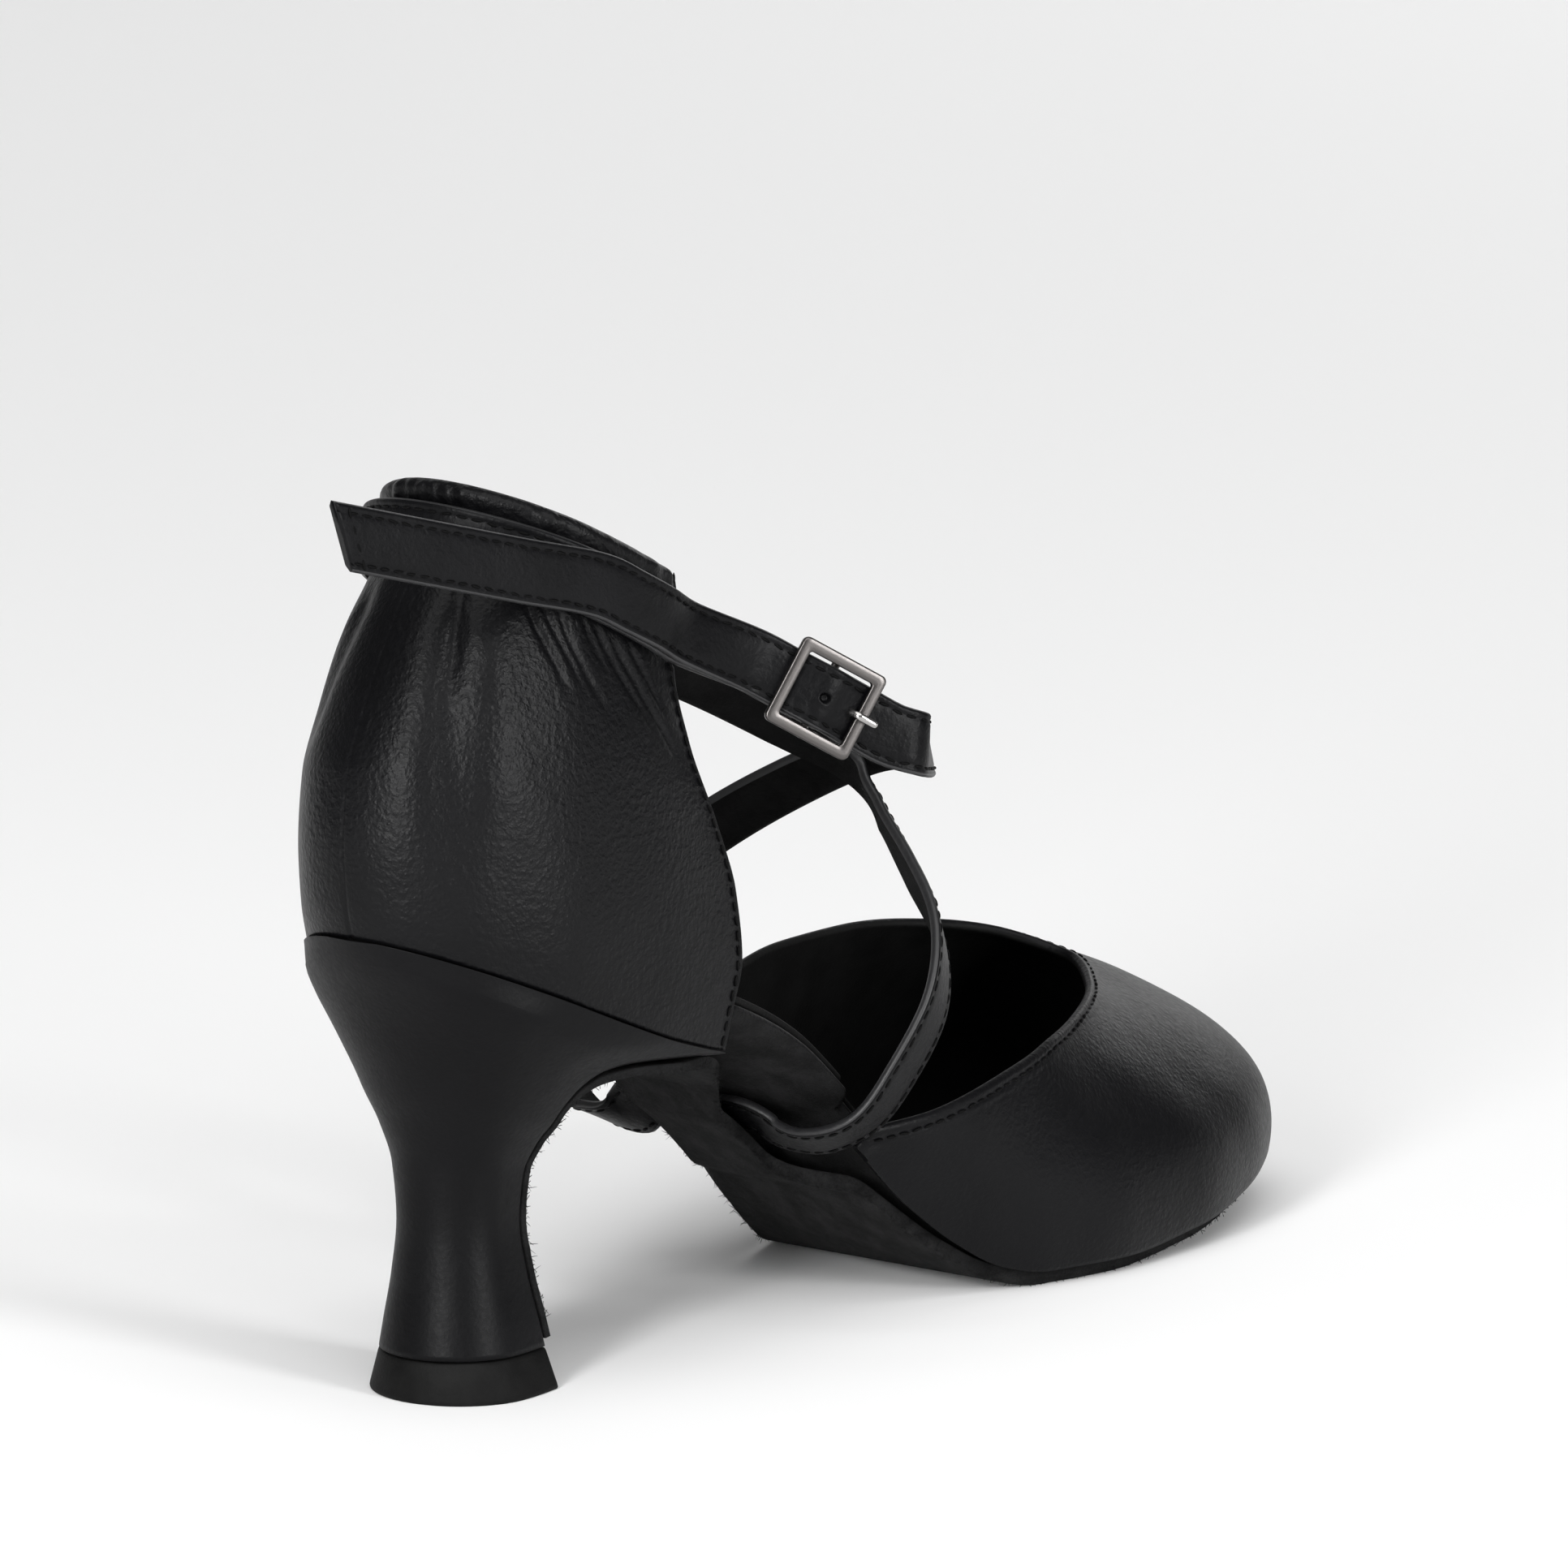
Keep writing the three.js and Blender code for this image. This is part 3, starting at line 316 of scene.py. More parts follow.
def wave(x, seed, count=6, low=0.5, high=2.0):
    # smooth irregular wobble between about -1 and 1
    random = np.random.default_rng(seed)
    total = 0
    for _ in range(count):
        total = total + np.sin(x * random.uniform(low, high) + random.uniform(0, 6.3))
    return total / count ** 0.5 / 1.2


def ridge(u, v, path, width, height):
    # soft ridge (or trough, where height is below 0) along a path of u, v points, in millimetres
    points = np.array(path, float)
    best = np.full(u.shape, 1e9)
    share = np.zeros(u.shape)
    total = np.cumsum([0] + [np.linalg.norm(b - a) for a, b in zip(points, points[1:])])
    for n, (a, b) in enumerate(zip(points, points[1:])):
        along = b - a
        t = np.clip(((u - a[0]) * along[0] + (v - a[1]) * along[1]) / (along @ along), 0, 1)
        distance = np.hypot(u - a[0] - t * along[0], v - a[1] - t * along[1])
        nearer = distance < best
        best = np.where(nearer, distance, best)
        share = np.where(nearer, (total[n] + t * (total[n + 1] - total[n])) / total[-1], share)
    fade = smooth(share, 0, 0.25) * smooth(1 - share, 0, 0.35)
    return height * fade * bell(best, width)


# Shader maths

class Shade:
    # one socket of a material, with the arithmetic that the finishes use
    def __init__(self, tree, socket):
        self.tree = tree
        self.socket = socket

    def join(self, operation, first, second):
        node = self.tree.nodes.new("ShaderNodeMath")
        node.operation = operation
        for socket, value in zip(node.inputs, (first, second)):
            if isinstance(value, Shade):
                self.tree.links.new(value.socket, socket)
            else:
                socket.default_value = value
        return Shade(self.tree, node.outputs[0])

    def __add__(self, other):
        return self.join("ADD", self, other)

    def __sub__(self, other):
        return self.join("SUBTRACT", self, other)

    def __rsub__(self, other):
        return self.join("SUBTRACT", other, self)

    def __mul__(self, other):
        return self.join("MULTIPLY", self, other)

    __radd__ = __add__
    __rmul__ = __mul__


class Finish:
    # a procedural material on Object coordinates
    def __init__(self, name):
        self.material = bpy.data.materials.new(name)
        self.material.use_nodes = True
        self.tree = self.material.node_tree
        self.surface = self.tree.nodes["Principled BSDF"]
        self.place = self.put("ShaderNodeTexCoord", {}, {}, "Object")

    def put(self, kind, settings, values, output=0):
        node = self.tree.nodes.new(kind)
        for key, value in settings.items():
            setattr(node, key, value)
        for key, value in values.items():
            self.feed(node.inputs[key], value)
        return Shade(self.tree, node.outputs[output])

    def feed(self, socket, value):
        if isinstance(value, Shade):
            self.tree.links.new(value.socket, socket)
        else:
            socket.default_value = value

    def noise(self, size, detail=3, roughness=0.55, where=None):
        # size is the noise's wavelength in millimetres
        return self.put("ShaderNodeTexNoise", {}, {
            "Vector": where or self.place, "Scale": 1 / (size * mm), "Detail": detail,
            "Roughness": roughness})

    def cells(self, size, where=None):
        # size is a soft cell's width in millimetres
        return self.put("ShaderNodeTexVoronoi", {"feature": "SMOOTH_F1"}, {
            "Vector": where or self.place, "Scale": 1 / (size * mm)}, "Distance")

    def range(self, value, low, high, newLow=0.0):
        return self.put("ShaderNodeMapRange", {"interpolation_type": "SMOOTHSTEP"}, {
            "Value": value, "From Min": low, "From Max": high, "To Min": newLow})

    def mix(self, share, first, second):
        values = {"Factor": share, 6: (*first, 1), 7: (*second, 1)}
        return self.put("ShaderNodeMix", {"data_type": "RGBA"}, values, 2)

    def stretched(self, turn, scale):
        return self.put("ShaderNodeMapping", {}, {"Vector": self.place, "Rotation": turn, "Scale": scale})

    def bump(self, height, depth, under=None):
        # depth in millimetres
        values = {"Height": height, "Distance": depth * mm, "Strength": 1.0}
        if under:
            values["Normal"] = under
        return self.put("ShaderNodeBump", {}, values)

    def set(self, **values):
        for key, value in values.items():
            self.feed(self.surface.inputs[key.replace("_", " ")], value)
        return self.material


def leatherFinish(name, look):
    # black nappa: pebbled grain, pores, soft blotches of gloss
    f = Finish(name)
    warp = f.noise(look["grain"] * 2.5, 2)
    moved = f.put("ShaderNodeVectorMath", {"operation": "MULTIPLY_ADD"}, {
        0: warp, 1: (look["grain"] * mm * 0.9,) * 3, 2: f.place})
    pebbles = f.cells(look["grain"], moved)
    fine = f.cells(look["grain"] * 0.42, moved)
    patches = f.noise(look["patch"], 4, 0.6)
    broad = f.noise(look["patch"] * 3.2, 3)
    pebbled = f.range(patches, 0.3, 0.7, 0.55)
    height = (1 - pebbles) * pebbled + (1 - fine) * 0.35 + f.noise(look["grain"] * 0.2, 2) * 0.12
    creases = f.range(f.noise(look["patch"] * 0.6, 4, 0.6), 0.35, 0.65)
    soft = f.bump(creases, look["crease"])
    normal = f.bump(height, look["depth"], soft)
    color = f.mix(f.range(broad, 0.35, 0.7), look["dark"], look["light"])
    rough = look["rough"] + (patches - 0.5) * look["roughSpread"] + pebbles * 0.12
    return f.set(Base_Color=color, Roughness=rough, Normal=normal, IOR=1.5,
                 Specular_IOR_Level=look["gloss"])


# grain and patches are widths, depth and crease are heights, in millimetres
leatherLook = {
    "grain": 0.8, "depth": 0.09, "patch": 14.0, "crease": 0.05, "rough": 0.35, "roughSpread": 0.1,
    "dark": (0.0018, 0.0018, 0.0022), "light": (0.0036, 0.0036, 0.0042), "gloss": 0.12,
}
cupLook = {**leatherLook, "grain": 0.85, "depth": 0.14, "gloss": 0.15}
heelLook = {**leatherLook, "grain": 0.7, "depth": 0.03, "crease": 0.04, "rough": 0.4}
nappa = leatherFinish("nappaLeather", leatherLook)
cupNappa = leatherFinish("cupLeather", cupLook)
heelNappa = leatherFinish("heelLeather", heelLook)
strapNappa = leatherFinish("strapGrain", {**leatherLook, "grain": 0.7, "depth": 0.06, "patch": 8.0})


def liningFinish():
    f = Finish("liningLeather")
    grain = f.cells(0.6)
    blotch = f.noise(9, 4)
    normal = f.bump(grain + blotch * 0.6, 0.05)
    color = f.mix(f.range(blotch, 0.3, 0.7), (0.002, 0.002, 0.002), (0.004, 0.004, 0.004))
    return f.set(Base_Color=color, Roughness=0.66 + (blotch - 0.5) * 0.15, Normal=normal,
                 Specular_IOR_Level=0.16)


def suedeFinish(name, dark, light):
    f = Finish(name)
    nap = f.noise(0.35, 6, 0.8)
    brushed = f.noise(5, 4, 0.65, f.stretched((0, 0, 0.25), (0.35, 1, 1)))
    normal = f.bump(nap + f.noise(1.6, 3) * 0.8, 0.45)
    color = f.mix(f.range(brushed + (nap - 0.5) * 0.9, 0.3, 0.75), dark, light)
    return f.set(Base_Color=color, Roughness=0.95, Normal=normal, Sheen_Weight=0.02,
                 Sheen_Roughness=0.5, Specular_IOR_Level=0.08)


def rubberFinish():
    f = Finish("liftRubber")
    speck = f.noise(0.5, 4, 0.7)
    blotch = f.noise(6, 3)
    normal = f.bump(speck, 0.06)
    color = f.mix(f.range(blotch, 0.3, 0.7), (0.002, 0.002, 0.002), (0.005, 0.005, 0.0049))
    return f.set(Base_Color=color, Roughness=0.6 + (speck - 0.5) * 0.25, Normal=normal,
                 Specular_IOR_Level=0.12)


def threadFinish():
    f = Finish("thread")
    twist = f.noise(0.25, 3)
    color = f.mix(twist, (0.0008, 0.0008, 0.0008), (0.0024, 0.0024, 0.0025))
    return f.set(Base_Color=color, Roughness=0.55 + twist * 0.1, Normal=f.bump(twist, 0.04),
                 Specular_IOR_Level=0.08)


def edgeFinish():
    # painted cut edge of the straps
    f = Finish("paintedEdge")
    ripple = f.noise(0.8, 4)
    color = f.mix(ripple, (0.008, 0.008, 0.009), (0.02, 0.02, 0.021))
    return f.set(Base_Color=color, Roughness=0.45 + (ripple - 0.5) * 0.2, Normal=f.bump(ripple, 0.08))


def metalFinish(name, color, rough, brush):
    f = Finish(name)
    streaks = f.noise(0.5, 4, 0.6, f.stretched((0.2, 0.5, 0.6), (1, 0.06, 1)))
    smudge = f.noise(4, 3)
    tone = f.mix(smudge, [c * 0.85 for c in color], color)
    uneven = rough + (streaks - 0.5) * brush + smudge * 0.06
    return f.set(Base_Color=tone, Metallic=1.0, Roughness=uneven, Normal=f.bump(streaks, 0.006))


lining = liningFinish()
suede = suedeFinish("soleSuedeNap", (0.005, 0.005, 0.0052), (0.02, 0.02, 0.0205))
strapSuede = suedeFinish("strapSuedeNap", (0.003, 0.003, 0.0031), (0.008, 0.008, 0.0082))
rubber = rubberFinish()
thread = threadFinish()
cutEdge = edgeFinish()
gunmetal = metalFinish("brushedGunmetal", (0.115, 0.108, 0.105), 0.28, 0.14)
brightMetal = metalFinish("brightPin", (0.45, 0.44, 0.43), 0.18, 0.06)
print("finishes made")


# Vamp: the front of the upper, with a folded and stitched edge round its opening

vampForm = {
    "around": 260, "rows": 64, "bindWidth": 3.0, "bindHeight": 0.22, "stitchInset": 1.9, "groove": 0.3,
    "grooveWidth": 0.45, "wobble": 0.12,
}


def vampGrids():
    u = denser(-1, 1, vampForm["around"], 0.012, 8)[:, None]
    v = denser(0, 1, vampForm["rows"], 0.03, 8, both=False)[None, :]
    base = vampSurface(u, v)
    normal = normalOf(vampSurface, u, v)
    fromRim = arcFrom(base, 1, reverse=True)
    fromEnd = fromEnds(base, 0)
    half = shoe["vampWall"] / 2
    turned = closeRound(fromRim, 0.8) * closeRound(fromEnd, 0.8)
    bind = smooth(-np.minimum(fromRim, fromEnd), -vampForm["bindWidth"], -vampForm["bindWidth"] + 0.7)
    seam = bell(fromRim - vampForm["stitchInset"], vampForm["grooveWidth"])
    relief = vampForm["bindHeight"] * bind - vampForm["groove"] * seam
    uneven = wave(u * 9 + v * 3, 4) * wave(v * 7 - u * 4, 5)
    relief = relief + vampForm["wobble"] * uneven * smooth(v, 0.1, 0.4)
    outer = base + normal * (half + (half + relief) * turned)[..., None]
    inner = base + normal * (half - half * turned)[..., None]
    return outer, inner


place(shell("vampLeather", *vampGrids(), [nappa, lining]), "leather", "vamp")
print("vamp made")


# Heel cup: padded collar, centre seam, a soft trough between two ridges and creases below the strap

cupForm = {
    "around": 300, "rows": 120, "collarSwell": 0.9, "edgeWidth": 2.6, "edgeHeight": 0.3, "seamDepth": 0.3,
    "seamWidth": 0.006, "wobble": 0.22, "collarFolds": 0.3, "underStrap": 0.12, "strapFoot": 0.8,
    "stitchInset": 1.7, "groove": 0.32, "grooveWidth": 0.45,
}
# a path of u (share of the way round, negative on the outer side) and v (share of the height),
# then its width in the same shares and its height in millimetres
cupFolds = [
    ([(-0.185, 0.8), (-0.232, 0.675), (-0.268, 0.52), (-0.312, 0.362), (-0.35, 0.12)], 0.06, -0.6),
    ([(-0.18, 0.84), (-0.208, 0.74), (-0.236, 0.64), (-0.27, 0.48)], 0.03, -0.55),
    ([(-0.1, 0.8), (-0.127, 0.64), (-0.157, 0.508), (-0.19, 0.34), (-0.19, 0.12)], 0.085, 0.4),
    ([(-0.28, 0.79), (-0.34, 0.63), (-0.4, 0.48), (-0.46, 0.355), (-0.54, 0.2)], 0.09, 0.4),
    ([(0.2, 0.78), (0.24, 0.66), (0.29, 0.5), (0.33, 0.36)], 0.055, -0.9),
]
cupCreases = [
    ([(-0.4, 0.79), (-0.475, 0.723), (-0.542, 0.67), (-0.6, 0.6)], 0.011, -0.42),
    ([(-0.46, 0.79), (-0.53, 0.735), (-0.6, 0.675), (-0.65, 0.62)], 0.01, -0.36),
    ([(-0.51, 0.8), (-0.583, 0.725), (-0.657, 0.665), (-0.73, 0.6)], 0.011, -0.42),
    ([(-0.6, 0.8), (-0.66, 0.75), (-0.72, 0.7)], 0.01, -0.3),
    ([(-0.63, 0.81), (-0.725, 0.743), (-0.828, 0.667), (-0.9, 0.59)], 0.012, -0.45),
    ([(-0.7, 0.8), (-0.805, 0.728), (-0.892, 0.647), (-0.95, 0.56)], 0.013, -0.5),
    ([(-0.78, 0.8), (-0.86, 0.74), (-0.93, 0.66)], 0.011, -0.36),
    ([(0.5, 0.8), (0.6, 0.72), (0.7, 0.65)], 0.012, -0.36),
    ([(0.62, 0.81), (0.74, 0.73), (0.86, 0.66)], 0.012, -0.42),
]


def cupRelief(u, v):
    total = cupForm["collarSwell"] * smooth(v, 0.93, 0.975)
    for path, width, height in cupFolds + cupCreases:
        total = total + ridge(u, v, path, width, height)
    seam = bell(u, cupForm["seamWidth"]) * (0.35 + 0.65 * smooth(-v, -0.5, -0.15))
    total = total - cupForm["seamDepth"] * seam * smooth(-v, -0.97, -0.9)
    uneven = wave(u * 10 + v * 2, 11) * wave(v * 8 - u * 3, 12)
    total = total + cupForm["wobble"] * uneven * smooth(-v, -cupForm["strapFoot"], -0.65)
    collarFolds = wave(u * 38 + v * 22, 21) * wave(u * 21 - v * 30, 22)
    total = total + cupForm["collarFolds"] * collarFolds * smooth(v, 0.92, 0.96)
    strapped = (v > cupForm["strapFoot"]) & (v < 0.93)
    return np.where(strapped, np.minimum(total, cupForm["underStrap"]), total)


def cupGrids():
    u = denser(-1, 1, cupForm["around"], 0.014, 8)[:, None]
    v = denser(0, 1, cupForm["rows"], 0.03, 8, both=False)[None, :]
    base = cupSurface(u, v)
    out = -normalOf(cupSurface, u, v)
    fromRim = arcFrom(base, 1, reverse=True)
    fromEnd = fromEnds(base, 0)
    half = shoe["cupWall"] / 2
    turned = closeRound(fromRim, 1.7) * closeRound(fromEnd, 1.1)
    bind = smooth(-fromEnd, -cupForm["edgeWidth"], -cupForm["edgeWidth"] + 0.8)
    seam = bell(fromEnd - cupForm["stitchInset"], cupForm["grooveWidth"])
    edge = cupForm["edgeHeight"] * bind * (v < cupForm["strapFoot"]) - cupForm["groove"] * seam
    relief = cupRelief(u, v) * smooth(fromEnd, 1.5, 4) + edge
    outer = base + out * (-half + (half + relief) * turned)[..., None]
    inner = base + out * (-half - half * turned)[..., None]
    return outer, inner


place(shell("heelCupLeather", *cupGrids(), [cupNappa, lining]), "leather", "heel_cup")
print("heel cup made")


# Insole board and sock

boardForm = {"stations": 170, "across": 26, "board": 2.6, "sock": 1.4, "sockInset": 0.6}


def plateGrids(base, thickness, margin, rounding):
    cupFront = shoe["rear"] + cupLevels.column["front"][0] * cup["length"]
    cupStep = float(turnOf(shareAt(cupFront + 1.4 + margin)))
    vampStep = float(turnOf(shoe["vampBack"] - 0.006 - margin / shoe["length"]))
    turns = np.unique(np.concatenate([
        np.linspace(0, 1, boardForm["stations"]), [cupStep, cupStep + 1e-4, vampStep - 1e-4, vampStep]]))
    wide = (turns > cupStep) & (turns < vampStep)
    wall = np.where(turns < 0.5 * (cupStep + vampStep), shoe["cupWall"], shoe["vampWall"])
    inset = margin + np.where(wide, 0, shoe["gap"] + wall)
    outer, inner = feather(turns, -1, inset), feather(turns, 1, inset)
    share = denser(0, 1, boardForm["across"], 0.05, 7)
    plan = outer[:, None] * (1 - share)[None, :, None] + inner[:, None] * share[None, :, None]
    plan[0, :, 1] = 0
    plan[-1, :, 1] = 0
    width = np.linalg.norm(inner - outer, axis=-1)[:, None]
    fromEdge = np.minimum(share, 1 - share)[None, :] * width
    fromEnd = np.minimum(plan[..., 0] - plan[0, 0, 0], plan[-1, 0, 0] - plan[..., 0])
    half = thickness / 2 * closeRound(np.minimum(fromEdge, fromEnd), rounding)
    middle = bottomHeight(plan[..., 0], plan[..., 1], "curl") + base + thickness / 2
    top = np.concatenate([plan, (middle + half)[..., None]], -1)
    under = np.concatenate([plan, (middle - half)[..., None]], -1)
    return top, under


board = plateGrids(0, boardForm["board"], 0, 1.0)
place(shell("boardLeather", *board, [nappa, suede]), "leather", "insole_board")
sock = plateGrids(boardForm["board"] + shoe["gap"], boardForm["sock"], boardForm["sockInset"], 0.7)
place(shell("sockLining", *sock, [lining, lining]), "lining", "insole_sock")
print("insole made")


# Heel block and its lift

heelForm = {
    "liftHeight": 6.5, "liftWidth": 28.4, "liftLength": 22.6, "flare": 2, "rim": 0.5, "roundPart": 0.6,
    "rows": 70,
}
heelLevels = Table("level waist flare reach tilt", [
    (0, 1, 0, 0, 0), (0.08, 0.93, 0, 0, 0), (0.2, 0.82, 0, 0, 0.02), (0.35, 0.74, 0, 0, 0.06),
    (0.5, 0.77, 0.02, 0, 0.16), (0.6, 0.87, 0.07, 0, 0.26), (0.7, 0.98, 0.19, 0.01, 0.38),
    (0.8, 1, 0.38, 0.04, 0.5), (0.9, 1, 0.63, 0.14, 0.62), (0.96, 1, 0.83, 0.36, 0.76), (1, 1, 1, 1, 1),
])
cupFrontX = shoe["rear"] + cupLevels.column["front"][0] * cup["length"]
breastTop = cupFrontX + 1.5
liftTopWidth = heelForm["liftWidth"] - 2 * heelForm["flare"]
liftTopLength = heelForm["liftLength"] - 1.2 * heelForm["flare"]


def lengthwise(t):
    part = heelForm["roundPart"]
    return np.where(t < part, closeRound(t, part), 1 - 0.4 * (t - part) ** 2)


def heelPoint(t, place, level):
    t, place, level = np.broadcast_arrays(*(np.asarray(value, float) for value in (t, place, level)))
    columns = ("waist", "flare", "reach", "tilt")
    waistShare, flare, reach, tilt = (heelLevels.read(name, level) for name in columns)
    seatBack = shoe["rear"] - heelForm["rim"]
    back = -waistShare * liftTopLength * (1 - flare) / 2 + seatBack * flare
    front = waistShare * liftTopLength * (1 - reach) / 2 + breastTop * reach
    x = back + (front - back) * t
    seatX = seatBack + (breastTop - seatBack) * t
    side = np.where(place < 0, -1, 1)
    rim = heelForm["rim"] * np.clip((breastTop - seatX) / 4, 0, 1)
    seatAt = np.maximum(seatX + rim * np.maximum(1 - 4 * t, 0), shoe["rear"])
    seatHalf = outlineHalf(turnOf(shareAt(seatAt)), side) + rim
    liftHalf = waistShare * liftTopWidth * lengthwise(t) / 2
    half = liftHalf * (1 - flare) + seatHalf * flare
    y = place * np.where(t <= 0, 0, half)
    foot = heelForm["liftHeight"] + shoe["gap"]
    flat = foot + level * (float(boardHeight(0.0)) - shoe["gap"] - foot)
    seatY = y * np.minimum(1, seatHalf / np.maximum(half, 1e-6))
    tilted = foot + level * (bottomHeight(seatX, seatY, "seat") - shoe["gap"] - foot)
    return np.stack([x, y, flat + (tilted - flat) * tilt], -1)


def heelOutline():
    # once round the heel: back, inner side, breast, outer side, with the breast's corners turned
    back = 0.35 * (1 - np.cos(np.linspace(0, math.pi / 2, 14)))
    side = np.concatenate([back, np.linspace(0.35, 0.965, 22)[1:]])
    breast = np.linspace(0.955, -0.955, 24)
    t = np.concatenate([side, np.ones(len(breast)), side[:0:-1]])
    place = np.concatenate([np.ones(len(side)), breast, -np.ones(len(side) - 1)])
    return t, place


def heelRings():
    t, spread = heelOutline()
    levels = np.concatenate([np.linspace(0, 1, heelForm["rows"]), 1 - np.geomspace(1e-3, 0.05, 8)])
    return heelPoint(t[None, :], spread[None, :], np.unique(np.round(levels, 6))[:, None])


place(ringTube("heelCover", heelRings(), [heelNappa]), "leather", "heel")
# height and inset of each ring of the lift, from the floor up
liftSteps = [(0, 0.45), (0.1, 0.2), (0.35, 0.04), (0.8, 0), (3.2, 0), (5.9, 0), (6.35, 0.1), (6.5, 0.35)]


def liftRings():
    t, spread = heelOutline()
    rings = []
    for z, inset in liftSteps:
        share = z / heelForm["liftHeight"]
        width = heelForm["liftWidth"] + (liftTopWidth - heelForm["liftWidth"]) * share - 2 * inset
        length = heelForm["liftLength"] + (liftTopLength - heelForm["liftLength"]) * share - 2 * inset
        x = (t - 0.5) * length
        y = spread * width / 2 * lengthwise(t)
        rings.append(np.stack([x, y, np.full(len(t), z)], -1))
    return np.array(rings)


place(ringTube("topLiftRubber", liftRings(), [rubber]), "rubber", "top_lift")
print("heel made")


# Suede outsole, on down the heel's breast

soleForm = {
    "forward": 190, "down": 90, "across": 34, "thickness": 2.8, "breastCover": 1.4, "tunnelAt": 90,
    "tunnelRoom": 0.45, "strapWidth": 10, "strapThickness": 1.6, "edgeRound": 0.5, "topLevel": 0.99,
    "footLevel": 0.015,
}
tunnelX = shoe["rear"] + soleForm["tunnelAt"]


def tunnelDrop(x):
    depth = 1.4 * (soleForm["strapThickness"] + shoe["gap"] + 2 * soleForm["tunnelRoom"])
    half = soleForm["strapWidth"] / 2
    return depth * (1 - smooth(np.abs(x - tunnelX), half + 1.5, half + 10))


def soleUpper(path, place):
    path, place = np.broadcast_arrays(np.asarray(path, float), np.asarray(place, float))
    side = np.where(place < 0, -1, 1)
    turn = 1 - np.minimum(path, 1) * (1 - turnOf(shareAt(breastTop + 1.2)))
    along = shareOf(turn)
    covered = np.where(side < 0, waist.read("lateral", along), waist.read("medial", along))
    plan = feather(turn, side, 0.5)
    x = plan[..., 0]
    y = np.where(path <= 0, 0, np.abs(place) * plan[..., 1]) * covered
    along = np.stack([x, y, bottomHeight(x, y, "seat") - shoe["gap"] - tunnelDrop(x)], -1)
    fall = (soleForm["footLevel"] - soleForm["topLevel"]) * np.maximum(path - 1, 0) ** 1.6
    level = soleForm["topLevel"] + fall
    down = heelPoint(np.ones_like(path), place * 0.97, level)
    return np.where((path <= 1)[..., None], along, down)


def soleGrids():
    even = np.linspace(0.03, 1, soleForm["forward"])
    forward = np.concatenate([[0], np.geomspace(4e-4, 0.03, 14), even[1:]])
    path = np.concatenate([forward, 1 + np.linspace(0, 1, soleForm["down"])[1:]])[:, None]
    place = denser(-1, 1, soleForm["across"], 0.06, 7)[None, :]
    at = soleUpper(path, place)
    step = 0.02
    along = soleUpper(np.minimum(path + step, 2), place * 0.9) - soleUpper(path - step, place * 0.9)
    across = soleUpper(path, 0.5) - soleUpper(path, -0.5)
    out = unit(np.cross(along, across + 0 * along))
    out = np.where(((out[..., 2] > 0) & (out[..., 0] < 0))[..., None], -out, out)
    blend = smooth(path, 0.9, 1.15)[..., None]
    down = unit(np.array([0, 0, -1.0]) * (1 - blend) + out * blend)
    down = np.where((path <= 0.9)[..., None], np.array([0, 0, -1.0]), down)
    cover = soleForm["breastCover"] - soleForm["thickness"]
    thick = soleForm["thickness"] + cover * smooth(path, 0.85, 1.1)
    gap = np.where(path > 1, shoe["gap"] * smooth(path, 1, 1.05), 0)
    gap = gap * (1 + 1.2 * smooth(-path, -1.5, -1.2))
    upper = at + down * gap[..., None]
    lower = at + down * (gap + thick)[..., None]
    middle = (upper + lower) / 2
    fromEdge = np.minimum(fromEnds(at, 1), np.linalg.norm(at - at[:1], axis=-1))
    keep = 0.72 + 0.28 * closeRound(fromEdge, soleForm["edgeRound"])
    return middle + (upper - middle) * keep[..., None], middle + (lower - middle) * keep[..., None]


upper, lower = soleGrids()
place(shell("soleSuede", lower, upper, [suede, suede]), "suede", "outsole")
print("sole made")


# Strap: one long band, leather outside and suede inside, its route repeated from the solids

strapForm = {
    "width": 10, "thickness": 1.6, "skived": 1, "reach": 45, "freeEnd": 51, "slant": 0.6, "onCup": 0.87,
    "settle": 0.3, "step": 0.9, "stitchInset": 1.35, "groove": 0.14, "grooveWidth": 0.4, "pillow": 0.12,
    "hole": 0.75, "holeDepth": 1.2, "edgeRound": 0.55, "edgeBand": 0.3, "waver": 0.09, "slantFrom": 6,
    "firstStitch": 26, "lastStitch": 2.2,
}
buckle = {
    "along": 0.342, "reach": -0.715, "level": 0.722, "length": 15.2, "width": 14.6, "bar": 1.9,
    "thickness": 1.2, "pinRadius": 0.7, "pinDepth": 3.1, "prongRadius": 0.5,
}
collarLevel = shoe["heelHeight"] + cup["height"]
uAxis = unit(np.array([0.69, -0.52, -0.5]))
wAxis = np.array([-0.565, -0.823, 0.075])
wAxis = unit(wAxis - uAxis * (wAxis @ uAxis))
vAxis = np.cross(wAxis, uAxis)


def freePoint(along, reach, level):
    return np.array([xAt(along), reach * strapForm["reach"], level * collarLevel])


pinCentre = freePoint(buckle["along"], buckle["reach"], buckle["level"])
gap = shoe["gap"]
loopRadius = buckle["pinRadius"] + gap + strapForm["skived"] / 2
underFrame = buckle["pinDepth"] - buckle["thickness"] / 2 - gap - strapForm["thickness"] / 2
overPin = loopRadius + strapForm["skived"] / 2 + gap + strapForm["thickness"] / 2
barAway = (buckle["length"] - buckle["bar"]) / 2


def fromBuckle(u, w):
    return pinCentre + u * uAxis + w * wAxis


def buckleRow(u, w, thin=0):
    return fromBuckle(u, w), wAxis, thin


def aroundPin(degrees):
    angle = math.radians(degrees)
    out = uAxis * math.cos(angle) + wAxis * math.sin(angle)
    return pinCentre + loopRadius * out, out, 1


